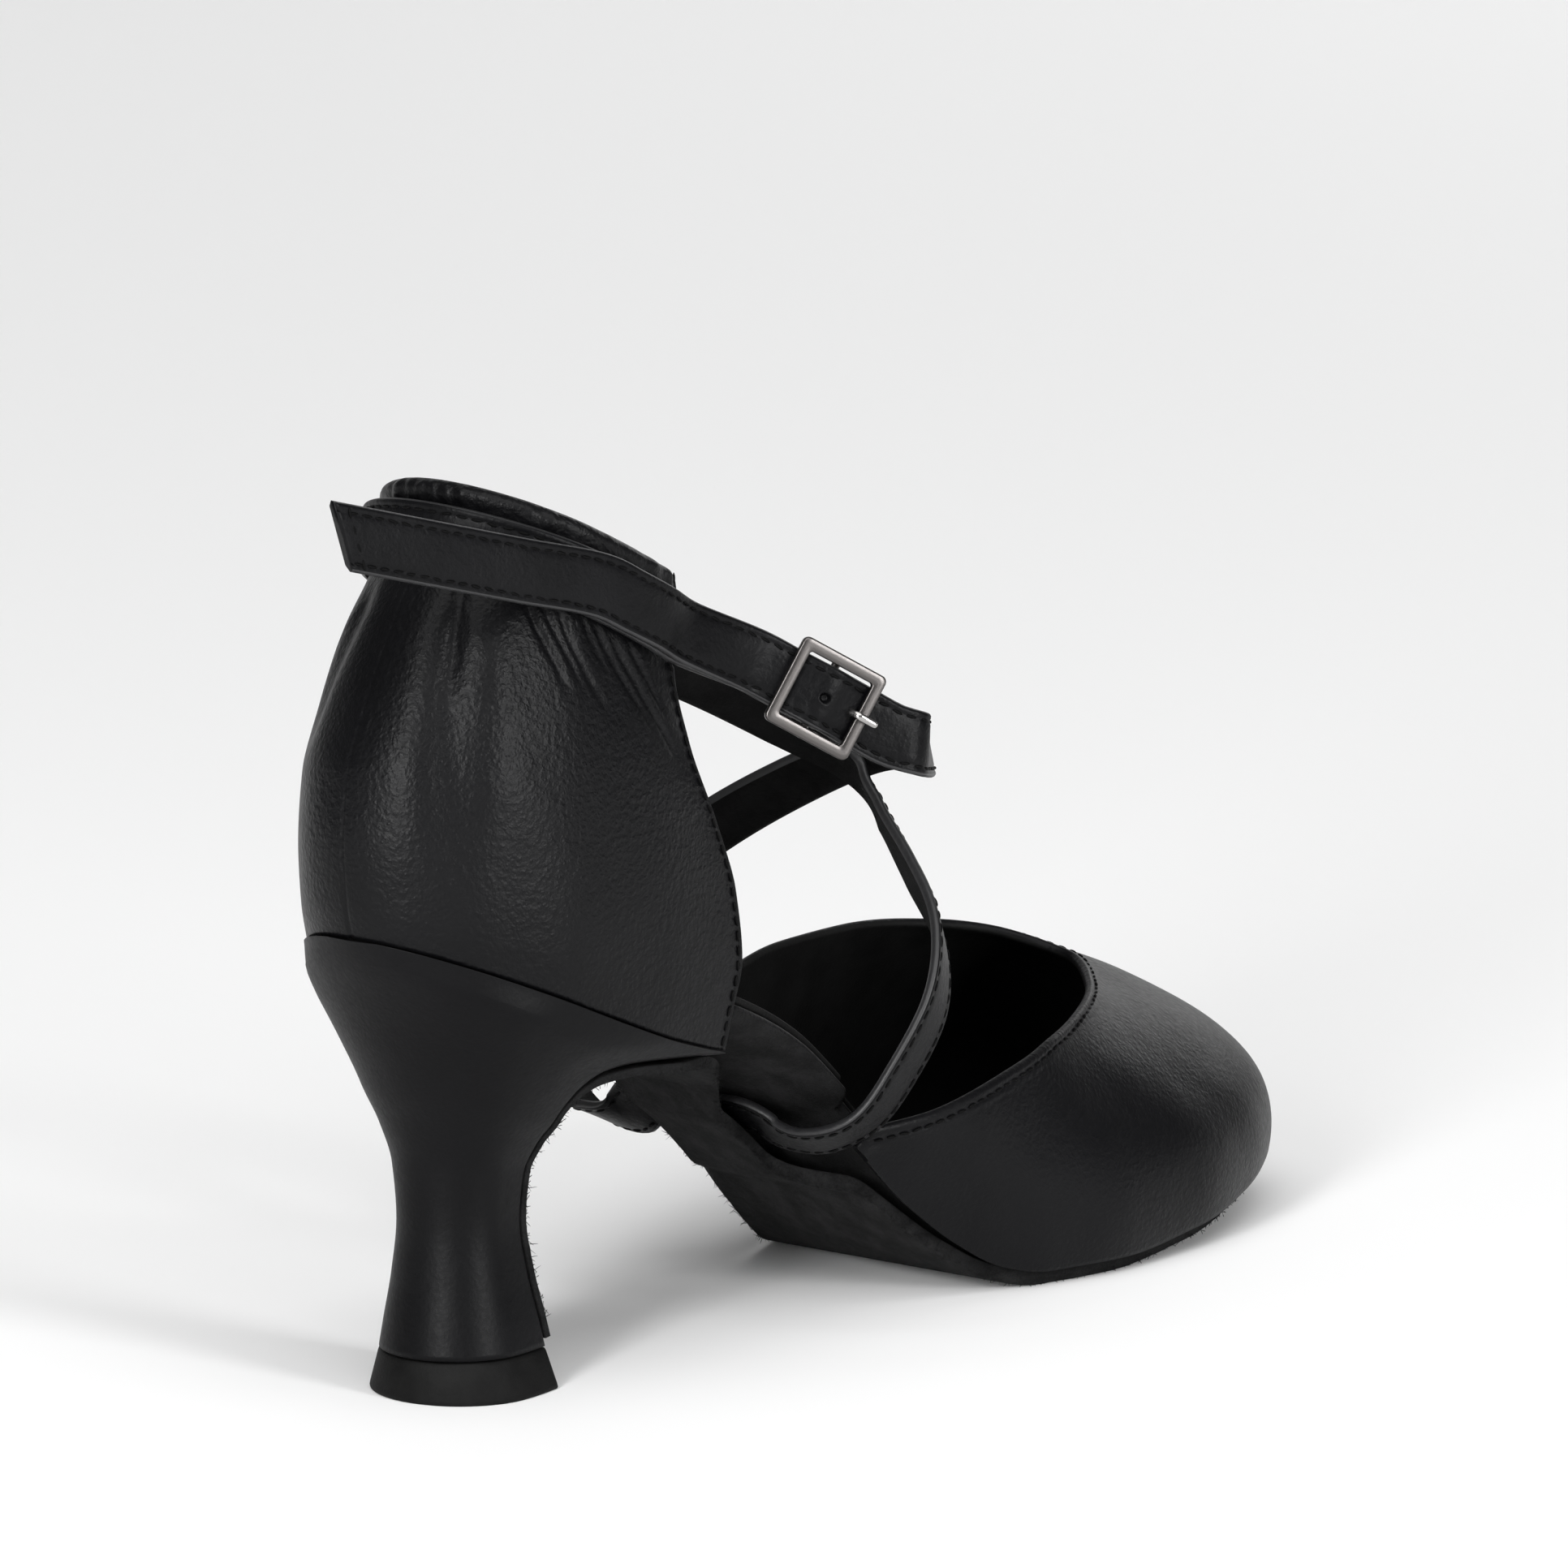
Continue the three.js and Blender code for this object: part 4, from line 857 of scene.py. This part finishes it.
def cupRow(around, rise, layer):
    out = -normalOf(cupSurface, around, rise)
    at = cupSurface(around, rise)
    half = 0.5 * strapForm["width"] / np.linalg.norm(cupSurface(around, 1) - cupSurface(around, 0))
    beyond = [(cupSurface(around, min(rise + part, 1)) - at) @ out for part in (-half, half)]
    away = gap * (layer + 1) + strapForm["thickness"] * (layer + 0.5) + max(*beyond, 0) + strapForm["settle"]
    return at + out * away, out, 0


def freeRow(along, reach, level, facing, tip):
    facing, tip = math.radians(facing), math.radians(tip)
    out = np.array([math.cos(tip) * math.cos(facing), math.cos(tip) * math.sin(facing), math.sin(tip)])
    return freePoint(along, reach, level), out, 0


def tunnelRow(y):
    heights = [float(bottomHeight(np.array(tunnelX + step), np.array(float(y)), "seat")) for step in (-2, 2)]
    out = unit(np.array([(heights[1] - heights[0]) / 4, 0, -1]))
    level = float(bottomHeight(np.array(tunnelX), np.array(float(min(y, 12))), "seat"))
    away = gap + soleForm["tunnelRoom"] + strapForm["thickness"] / 2
    return np.array([tunnelX, y, level]) + out * away, out, 0


# along, reach and level are shares of the shoe's length, of the loop's reach and of the collar's height
overInstep = [
    (0.336, 0.507, 0.76, 87, 9), (0.41, 0.433, 0.723, 75, 14), (0.474, 0.289, 0.675, 61, 24),
    (0.525, 0.144, 0.62, 42, 41), (0.566, -0.022, 0.565, 2, 48), (0.557, -0.167, 0.527, -8, 38),
    (0.531, -0.4, 0.476, -26, 24), (0.506, -0.622, 0.421, -51, 12), (0.481, -0.7, 0.353, -69, 3),
    (0.451, -0.667, 0.284, -81, -11), (0.43, -0.58, 0.23, -90, -30), (0.419, -0.42, 0.206, -121, -50),
    (0.415, -0.27, 0.208, -160, -54),
]
backOver = [
    (0.415, 0.43, 0.2, 152, -52), (0.417, 0.56, 0.196, 130, -53), (0.42, 0.711, 0.21, 97, -37),
    (0.428, 0.833, 0.247, 90, -14), (0.46, 0.9, 0.322, 84, 3), (0.511, 0.822, 0.404, 69, 9),
    (0.552, 0.578, 0.483, 43, 20), (0.575, 0.289, 0.541, 25, 34), (0.581, 0.022, 0.58, 0, 45),
    (0.561, -0.244, 0.603, -27, 37), (0.506, -0.522, 0.623, -42, 21), (0.451, -0.767, 0.646, -51, 12),
    (0.417, -0.89, 0.659, -66, 6), (0.398, -0.945, 0.667, -93, 3),
]


def strapRows():
    between = gap + strapForm["skived"]
    onCup = strapForm["onCup"]
    rows = [
        buckleRow(-8.5, -loopRadius + between, 1),
        buckleRow(-5.5, -loopRadius + between + 0.2, 1),
        buckleRow(-3, loopRadius - 0.7, 1),
        *[aroundPin(angle) for angle in (105, 60, 0, -60, -105)],
        buckleRow(-3.5, -loopRadius, 1),
        buckleRow(-8.5, -loopRadius, 1),
        buckleRow(-12, -loopRadius),
        *[cupRow(u, onCup, 0) for u in (-0.97, -0.84, -0.68, -0.5, -0.3, -0.1)],
        *[cupRow(u, onCup, 0) for u in (0.1, 0.3, 0.5, 0.68, 0.82, 0.92, 1)],
        *[freeRow(*row) for row in overInstep],
        *[tunnelRow(y) for y in (-7, 0, 7, 14)],
        *[freeRow(*row) for row in backOver],
        buckleRow(13, underFrame),
        buckleRow(barAway, underFrame),
        buckleRow(barAway / 2, (underFrame + overPin) / 2),
        buckleRow(0, overPin),
        buckleRow(-barAway / 2, (underFrame + overPin) / 2),
        buckleRow(-barAway, underFrame),
        buckleRow(-12, underFrame - 0.2),
        *[cupRow(u, onCup, 1) for u in (-0.97, -0.86, -0.74, -0.62)],
    ]
    at, out, thin = rows[-1]
    endWay = unit(np.array([-0.93, 0.22, 0.25]))
    rows += [(at + endWay * part * strapForm["freeEnd"], out, thin) for part in (0.33, 0.66, 1)]
    return [np.array(column, float) for column in zip(*rows)]


def centripetal(points, t):
    # smooth curve through the points, t from 0 to their number less one
    last = len(points) - 1
    i = np.clip(np.floor(t).astype(int), 0, last - 1)
    w = (t - i)[:, None]
    run = np.concatenate([[2 * points[0] - points[1]], points, [2 * points[-1] - points[-2]]])
    p0, p1, p2, p3 = (run[i + n] for n in range(4))
    spans = ((p0, p1), (p1, p2), (p2, p3))
    d0, d1, d2 = (np.sqrt(np.linalg.norm(b - a, axis=-1, keepdims=True)) for a, b in spans)
    d1 = np.where(d1 < 1e-4, 1, d1)
    d0 = np.where(d0 < 1e-4, d1, d0)
    d2 = np.where(d2 < 1e-4, d1, d2)
    start = ((p1 - p0) / d0 - (p2 - p0) / (d0 + d1) + (p2 - p1) / d1) * d1
    end = ((p2 - p1) / d1 - (p3 - p1) / (d1 + d2) + (p3 - p2) / d2) * d1
    square = (3 * (p2 - p1) - 2 * start - end) * w ** 2
    return p1 + start * w + square + (2 * (p1 - p2) + start + end) * w ** 3


points, outs, thins = strapRows()
holeCentres = [fromBuckle(-0.2, overPin)]
rough = np.arange(0, len(points) - 1 + 1e-9, 0.02)
roughAt = centripetal(points, rough)
length = np.concatenate([[0], np.cumsum(np.linalg.norm(np.diff(roughAt, axis=0), axis=1))])
strapLength = float(length[-1])
even = np.arange(0, strapLength, strapForm["step"])
holeAt = [length[np.argmin(np.linalg.norm(roughAt - centre, axis=1))] for centre in holeCentres]
close = [np.arange(-2.4, 2.4, 0.16) + at for at in holeAt]
stationAt = np.unique(np.round(np.concatenate([even, *close, [strapLength]]), 4))
t = np.interp(stationAt, length, rough)
strapMiddle = centripetal(points, t)
ahead = centripetal(points, np.minimum(t + 1e-3, len(points) - 1))
strapTangent = unit(ahead - centripetal(points, t - 1e-3))
strapAcross = unit(np.cross(strapTangent, centripetal(outs, t)))
strapOut = np.cross(strapAcross, strapTangent)
strapThin = np.interp(t, np.arange(len(points)), thins)
strapNearEnd = smooth(stationAt, strapLength - strapForm["slantFrom"], strapLength)
print("strap is", round(strapLength), "mm long")


def strapRings():
    half = strapForm["width"] / 2
    edge = half * np.array([
        1, 0.986, 0.956, 0.9, 0.83, 0.78, 0.73, 0.68, 0.6, 0.44, 0.26, 0.2, 0.16, 0.12, 0.08, 0.04])
    face = np.concatenate([-edge, [0], edge[::-1]])
    full = 1 - strapThin[:, None]
    thick = strapForm["skived"] + (strapForm["thickness"] - strapForm["skived"]) * full
    rounded = closeRound(half - np.abs(face), strapForm["edgeRound"])[None, :]
    groove = bell(np.abs(face) - half + strapForm["stitchInset"], strapForm["grooveWidth"])
    crown = strapForm["pillow"] * (1 - (face / half) ** 2) - strapForm["groove"] * groove
    lift = thick / 2 * rounded + crown[None, :] * full
    for at in holeAt:
        away = np.hypot(stationAt[:, None] - at, face[None, :])
        inHole = 1 - smooth(away, strapForm["hole"] - 0.2, strapForm["hole"] + 0.1)
        lift = lift - strapForm["holeDepth"] * inHole
    under = face[::4][::-1][1:-1]
    sink = thick / 2 * closeRound(half - np.abs(under), strapForm["edgeRound"])[None, :]
    side = np.concatenate([face, under])
    height = np.concatenate([lift, -sink], axis=1) + strapForm["waver"] * wave(stationAt * 0.16, 31)[:, None]
    ahead = strapForm["slant"] * side[None, :] * strapNearEnd[:, None]
    rings = strapMiddle[:, None] + strapAcross[:, None] * side[None, :, None]
    rings = rings + strapOut[:, None] * height[..., None] + strapTangent[:, None] * ahead[..., None]
    slot = np.where(np.abs(side) > half - strapForm["edgeBand"], 1, 0)
    slot[len(face):] = np.where(slot[len(face):] == 1, 1, 2)
    return rings, np.tile(slot, len(stationAt) - 1)


rings, slots = strapRings()
strapFinishes = [strapNappa, cutEdge, strapSuede]
place(ringTube("strapLeather", rings, strapFinishes, slots), "leather", "strap")
print("strap made")


# Buckle

def buckleWorld(local):
    return pinCentre + local[..., :1] * uAxis + local[..., 1:2] * vAxis + local[..., 2:] * wAxis


def roundedSquare(length, width, radius, perCorner=9, perSide=6):
    corners = []
    for sx, sy, start in ((1, 1, 0), (-1, 1, 90), (-1, -1, 180), (1, -1, 270)):
        angle = np.radians(start + np.linspace(0, 90, perCorner))
        middle = np.array([sx * (length / 2 - radius), sy * (width / 2 - radius)])
        corners.append(middle + radius * np.stack([np.cos(angle), np.sin(angle)], -1))
    full = []
    for corner, after in zip(corners, corners[1:] + corners[:1]):
        between = np.linspace(0, 1, perSide + 2)[1:-1, None]
        full += [corner, corner[-1] + (after[0] - corner[-1]) * between]
    return np.concatenate(full)


def frameRings():
    outer = roundedSquare(buckle["length"], buckle["width"], 1.1)
    inner = roundedSquare(buckle["length"] - 2 * buckle["bar"], buckle["width"] - 2 * buckle["bar"], 0.5)
    half = buckle["thickness"] / 2
    section = [(0, -0.5), (0.03, -0.85), (0.1, -1), (0.5, -1), (0.9, -1), (0.97, -0.85), (1, -0.5), (1, 0),
               (1, 0.45), (0.96, 0.8), (0.86, 0.97), (0.6, 1), (0.4, 1), (0.14, 0.97), (0.04, 0.8), (0, 0.45),
               (0, 0)]
    rings = []
    for share, height in section:
        flat = inner + (outer - inner) * share
        rings.append(np.concatenate([flat, np.full((len(flat), 1), buckle["pinDepth"] + height * half)], 1))
    return buckleWorld(np.array(rings + rings[:1]))


def roundBar(start, end, radius, sides=20):
    start, end = np.array(start, float), np.array(end, float)
    axis = unit(end - start)
    across = unit(np.cross(axis, [0.3, 0.5, 0.8]))
    upward = np.cross(axis, across)
    angle = np.linspace(0, 2 * math.pi, sides, endpoint=False)
    circle = np.cos(angle)[:, None] * across + np.sin(angle)[:, None] * upward
    stops = [(0, 0.6), (0.15, 0.85), (0.4, 1), (-0.4, 1), (-0.15, 0.85), (0, 0.6)]
    long = np.linalg.norm(end - start)
    return np.array([start + axis * (at if n < 3 else long + at) + circle * radius * share
                     for n, (at, share) in enumerate(stops)])


pinHalf = (buckle["width"] - buckle["bar"]) / 2
bars = [roundBar((0, -pinHalf, 0), (0, pinHalf, 0), buckle["pinRadius"])]
for side in (-1, 1):
    bars.append(roundBar((0, side * pinHalf, -0.6), (0, side * pinHalf, buckle["pinDepth"]), 0.85))
frameParts = [ringTube("buckleFrame", frameRings(), [gunmetal], caps=False)]
frameParts += [ringTube("buckleBar", buckleWorld(bar), [gunmetal]) for bar in bars]


def joined(name, parts):
    for part in bpy.context.selected_objects:
        part.select_set(False)
    for part in parts:
        part.select_set(True)
    bpy.context.view_layer.objects.active = parts[0]
    bpy.ops.object.join()
    parts[0].name = name
    return parts[0]


place(joined("buckleFrame", frameParts), "gunmetal", "buckle_frame")

onFrame = buckle["pinDepth"] + buckle["thickness"] / 2 + gap + buckle["prongRadius"]
prongPath = np.array([
    (0.72, 1.25), (-0.3, 1.42), (-1.25, 0.72), (-1.42, -0.3), (-0.72, -1.25), (0.5, -1.4), (2, -0.7),
    (3.4, 0.3), (4.4, 1.9), (4.9, 3.4), (5.7, 4.35), (barAway, onFrame), (barAway + 2.6, onFrame - 0.1),
])


def prongRings():
    way = np.stack([prongPath[:, 0], 0 * prongPath[:, 0], prongPath[:, 1]], -1)
    t = np.linspace(0, len(way) - 1, 110)
    at = centripetal(way, t)
    tangent = unit(np.gradient(at, axis=0))
    across = np.array([0, 1.0, 0])
    upward = np.cross(tangent, across)
    angle = np.linspace(0, 2 * math.pi, 16, endpoint=False)
    end = np.minimum(t / t[-1], 1 - t / t[-1]) * 16
    radius = buckle["prongRadius"] * closeRound(end, 0.25).clip(0.25, 1)
    circle = np.cos(angle)[None, :, None] * across * 1.25
    circle = circle + np.sin(angle)[None, :, None] * upward[:, None] * 0.9
    return buckleWorld(at[:, None] + circle * radius[:, None, None])


place(ringTube("buckleProng", prongRings(), [brightMetal]), "gunmetal", "buckle_prong")
print("buckle made")


# Stitches: one small bead of thread repeated along a line by Geometry Nodes

def stitchTree():
    tree = bpy.data.node_groups.new("stitchRow", "GeometryNodeTree")
    inputs = [("Line", "Geometry"), ("Pitch", "Float"), ("Length", "Float"), ("Thickness", "Float"),
              ("Wander", "Float"), ("Seed", "Int"), ("Sides", "Int"), ("Lean", "Vector"),
              ("Finish", "Material")]
    for name, kind in inputs:
        tree.interface.new_socket(name, in_out="INPUT", socket_type="NodeSocket" + kind)
    tree.interface.new_socket("Stitches", in_out="OUTPUT", socket_type="NodeSocketGeometry")
    start = tree.nodes.new("NodeGroupInput").outputs

    def add(kind, settings, links):
        node = tree.nodes.new(kind)
        for key, value in settings.items():
            setattr(node, key, value)
        for key, value in links.items():
            if isinstance(value, bpy.types.NodeSocket):
                tree.links.new(value, node.inputs[key])
            else:
                node.inputs[key].default_value = value
        return node.outputs[0] if node.outputs else node

    def random(low, high):
        return add("FunctionNodeRandomValue", {"data_type": "FLOAT_VECTOR"}, {
            "Min": low, "Max": high, "Seed": start["Seed"]})

    line = add("GeometryNodeMeshToCurve", {}, {"Mesh": start["Line"]})
    spaced = add("GeometryNodeResampleCurve", {"mode": "LENGTH"}, {"Curve": line, "Length": start["Pitch"]})
    outward = add("GeometryNodeInputNamedAttribute", {"data_type": "FLOAT_VECTOR"}, {"Name": "outward"})
    tangent = add("GeometryNodeInputTangent", {}, {})
    along = add("FunctionNodeAlignRotationToVector", {"axis": "X"}, {"Vector": tangent})
    upright = add("FunctionNodeAlignRotationToVector", {"axis": "Z", "pivot_axis": "X"}, {
        "Rotation": along, "Vector": outward})
    otherWay = add("ShaderNodeVectorMath", {"operation": "SCALE"}, {0: start["Lean"], "Scale": -1.0})
    turned = add("FunctionNodeRotateRotation", {"rotation_space": "LOCAL"}, {
        "Rotation": upright, "Rotate By": random(otherWay, start["Lean"])})
    size = add("ShaderNodeCombineXYZ", {}, {
        "X": start["Length"], "Y": start["Thickness"], "Z": start["Thickness"]})
    scale = add("ShaderNodeVectorMath", {"operation": "MULTIPLY"}, {
        0: size, 1: random((0.9, 0.88, 0.88), (1.08, 1.1, 1.1))})
    bead = add("GeometryNodeMeshUVSphere", {}, {"Segments": start["Sides"], "Rings": 5, "Radius": 0.5})
    smoothBead = add("GeometryNodeSetShadeSmooth", {}, {"Geometry": bead})
    shift = add("ShaderNodeVectorMath", {"operation": "SCALE"}, {
        0: random((-1, -1, -1), (1, 1, 1)), "Scale": start["Wander"]})
    moved = add("GeometryNodeSetPosition", {}, {"Geometry": spaced, "Offset": shift})
    repeated = add("GeometryNodeInstanceOnPoints", {}, {
        "Points": moved, "Instance": smoothBead, "Rotation": turned, "Scale": scale})
    real = add("GeometryNodeRealizeInstances", {}, {"Geometry": repeated})
    coloured = add("GeometryNodeSetMaterial", {}, {"Geometry": real, "Material": start["Finish"]})
    add("NodeGroupOutput", {}, {"Stitches": coloured})
    return tree


stitchNodes = stitchTree()
# pitch, length, thickness and wander in millimetres, lean in radians either way
stitchLook = {"Pitch": 2.5, "Length": 1.9, "Thickness": 0.5, "Wander": 0.04, "Seed": 7, "Sides": 8,
              "Lean": (0, 0, 0.16)}
fringeLook = {"Pitch": 0.45, "Length": 2.1, "Thickness": 0.12, "Wander": 0.3, "Seed": 3, "Sides": 3,
              "Lean": (1.3, 1.3, 1.5)}


def lineObject(name, lines):
    # lines of points with the outward direction at each, as loose edges
    mesh = bpy.data.meshes.new(name)
    vertices, edges, outward = [], [], []
    for at, out in lines:
        first = len(vertices)
        vertices.extend((np.asarray(at) * mm).tolist())
        outward.extend(np.asarray(out).tolist())
        edges.extend([first + n, first + n + 1] for n in range(len(at) - 1))
    mesh.from_pydata(vertices, edges, [])
    mesh.attributes.new("outward", "FLOAT_VECTOR", "POINT").data.foreach_set("vector", np.ravel(outward))
    made = bpy.data.objects.new(name, mesh)
    bpy.context.scene.collection.objects.link(made)
    return made


def realized(made, name, tree, values):
    modifier = made.modifiers.new("rows", "NODES")
    modifier.node_group = tree
    for item in tree.interface.items_tree:
        if item.in_out == "INPUT" and item.name in values:
            modifier[item.identifier] = values[item.name]
    bpy.context.view_layer.update()
    graph = bpy.context.evaluated_depsgraph_get()
    mesh = bpy.data.meshes.new_from_object(made.evaluated_get(graph))
    made.modifiers.remove(modifier)
    bpy.data.objects.remove(made)
    mesh.name = name
    piece = bpy.data.objects.new(name, mesh)
    bpy.context.scene.collection.objects.link(piece)
    return piece


def stitched(name, lines, slotName, look=stitchLook, finish=thread):
    values = {key: (value * mm if key in ("Pitch", "Length", "Thickness", "Wander") else value)
              for key, value in look.items()}
    piece = realized(lineObject(name + "Line", lines), name, stitchNodes, {**values, "Finish": finish})
    return place(piece, slotName)


def strapLine(side):
    at = strapMiddle + strapAcross * side * stitchReach + strapOut * strapForm["thickness"] / 2
    at = at + strapTangent * (strapForm["slant"] * side * stitchReach * strapNearEnd)[:, None]
    rows = slice(startStitch, endStitch)
    return at[rows], strapOut[rows]


def tipLine():
    # the stitches across the slanted free end
    n = endStitch - 1
    across = np.linspace(-1, 1, 9)[:, None] * stitchReach
    at = strapMiddle[n] + strapAcross[n] * across + strapTangent[n] * across * strapForm["slant"]
    return at + strapOut[n] * (strapForm["thickness"] / 2 + 0.02), np.repeat(strapOut[n][None], 9, 0)


stitchReach = strapForm["width"] / 2 - strapForm["stitchInset"]
startStitch = int(np.searchsorted(stationAt, strapForm["firstStitch"]))
endStitch = int(np.searchsorted(stationAt, strapLength - strapForm["lastStitch"]))
stitched("strapStitches", [strapLine(-1), strapLine(1), tipLine()], "leather")


def gridLine(surface, u, inset, wall):
    # a line at a fixed distance below a surface's upper rim
    v = np.linspace(0.6, 1, 60)[None, :]
    base = surface(u[:, None], v)
    fromRim = arcFrom(base, 1, reverse=True)
    at = np.array([[np.interp(-inset, -row, points[:, axis]) for axis in range(3)]
                   for row, points in zip(fromRim, base)])
    share = np.array([np.interp(-inset, -row, v[0]) for row in fromRim])
    out = normalOf(surface, u, share)
    return at + out * wall, out


vampAcross = np.linspace(-0.985, 0.985, 320)
vampLine = gridLine(vampSurface, vampAcross, vampForm["stitchInset"], shoe["vampWall"] + 0.08)
stitched("vampStitches", [vampLine], "leather", {**stitchLook, "Pitch": 2.3, "Length": 1.75})


def cupEdgeLine(side):
    v = np.linspace(0.02, 0.985, 140)
    u = np.linspace(0.9, 1, 60)[:, None] * side
    base = cupSurface(u, v[None, :])
    fromEnd = arcFrom(base, 0, reverse=True)
    inset = -cupForm["stitchInset"]
    share = side * np.array([np.interp(inset, -row, u[:, 0] * side) for row in fromEnd.T])
    out = -normalOf(cupSurface, share, v)
    at = cupSurface(share, v) + out * 0.16
    return [(at[part], out[part]) for part in (v < cupForm["strapFoot"], v > 0.935)]


cupLines = cupEdgeLine(-1) + cupEdgeLine(1)
stitched("cupStitches", cupLines, "leather", {**stitchLook, "Pitch": 2.3, "Length": 1.8})

# loose fibres along the suede's cut edges, at the waist and down the heel
fringeEdges = [lower[70:-3, edge] for edge in (0, -1)]
stitched("soleFringe", [(at, at * 0 + (0, 0, 1)) for at in fringeEdges], "suede", fringeLook, suede)
print("stitches made")


# Floor, light and camera

# metres, soft lights in watts, spread in degrees, lens in millimetres; floorGrey, world and overhead
# are plain strengths
stageLook = {
    "floorGrey": 0.92, "world": 0.1, "away": 6.0, "wallRise": 4.0, "bend": 1.5, "halfWidth": 8.0,
    "overhead": 1.85, "spread": 60, "left": 34, "right": 26, "back": 5, "lens": 262.95,
}
cameraAt = Vector((-1.3184, -1.11668, 0.42678))
cameraAim = Vector((0.0805, -0.00227, 0.08369))


def backdrop():
    # floor that turns up into a wall behind the shoe, seen from the camera
    away = (cameraAim - cameraAt).to_2d().normalized()
    side = Vector((-away.y, away.x))
    far, bend = stageLook["away"], stageLook["bend"]
    profile = [(-far, 0.0), (far, 0.0)]
    for angle in np.linspace(0, math.pi / 2, 13)[1:]:
        profile.append((far + bend * math.sin(angle), bend * (1 - math.cos(angle))))
    profile.append((far + bend, bend + stageLook["wallRise"]))
    vertices = []
    for along, height in profile:
        for across in (-stageLook["halfWidth"], stageLook["halfWidth"]):
            vertices.append((*(away * along + side * across), height))
    faces = [(2 * n, 2 * n + 1, 2 * n + 3, 2 * n + 2) for n in range(len(profile) - 1)]
    mesh = bpy.data.meshes.new("paleFloor")
    mesh.from_pydata(vertices, [], faces)
    mesh.polygons.foreach_set("use_smooth", [True] * len(mesh.polygons))
    floor = bpy.data.objects.new("paleFloor", mesh)
    bpy.context.scene.collection.objects.link(floor)
    f = Finish("paleFloorPaint")
    grey = (*[stageLook["floorGrey"]] * 3, 1)
    mesh.materials.append(f.set(Base_Color=grey, Roughness=0.9, Specular_IOR_Level=0.1))


def aimed(name, data, at, way):
    made = bpy.data.objects.new(name, data)
    made.location = at
    made.rotation_mode = "QUATERNION"
    made.rotation_quaternion = Vector(way).to_track_quat("-Z", "Y")
    bpy.context.scene.collection.objects.link(made)
    return made


def softLight(name, at, aim, size, power):
    data = bpy.data.lights.new(name, "AREA")
    data.shape = "RECTANGLE"
    data.size, data.size_y = size
    data.energy = power
    aimed(name, data, at, Vector(aim) - Vector(at)).visible_camera = False


backdrop()
overhead = bpy.data.lights.new("overhead", "SUN")
overhead.energy = stageLook["overhead"]
overhead.angle = math.radians(stageLook["spread"])
aimed("overhead", overhead, (0, 0, 0), (0.35, 0.3, -1))
softLight("leftSoft", (-1.74, -0.46, 0.55), (0, -0.01, 0.12), (0.36, 1.4), stageLook["left"])
softLight("rightSoft", (-0.08, -1.8, 0.45), (0, -0.01, 0.12), (0.36, 1.3), stageLook["right"])
softLight("backSoft", (2.3, 0.5, 0.85), (0.13, -0.01, 0.03), (1.3, 0.6), stageLook["back"])

world = bpy.data.worlds.new("paleRoom")
world.use_nodes = True
world.node_tree.nodes["Background"].inputs["Color"].default_value = (1, 1, 1, 1)
world.node_tree.nodes["Background"].inputs["Strength"].default_value = stageLook["world"]
bpy.context.scene.world = world
bpy.context.scene.view_settings.view_transform = "Standard"

cameraData = bpy.data.cameras.new("photoCamera")
cameraData.sensor_width = 36
cameraData.lens = stageLook["lens"]
cameraData.clip_start, cameraData.clip_end = 0.1, 30
bpy.context.scene.camera = aimed("photoCamera", cameraData, cameraAt, cameraAim - cameraAt)
print("stage made")
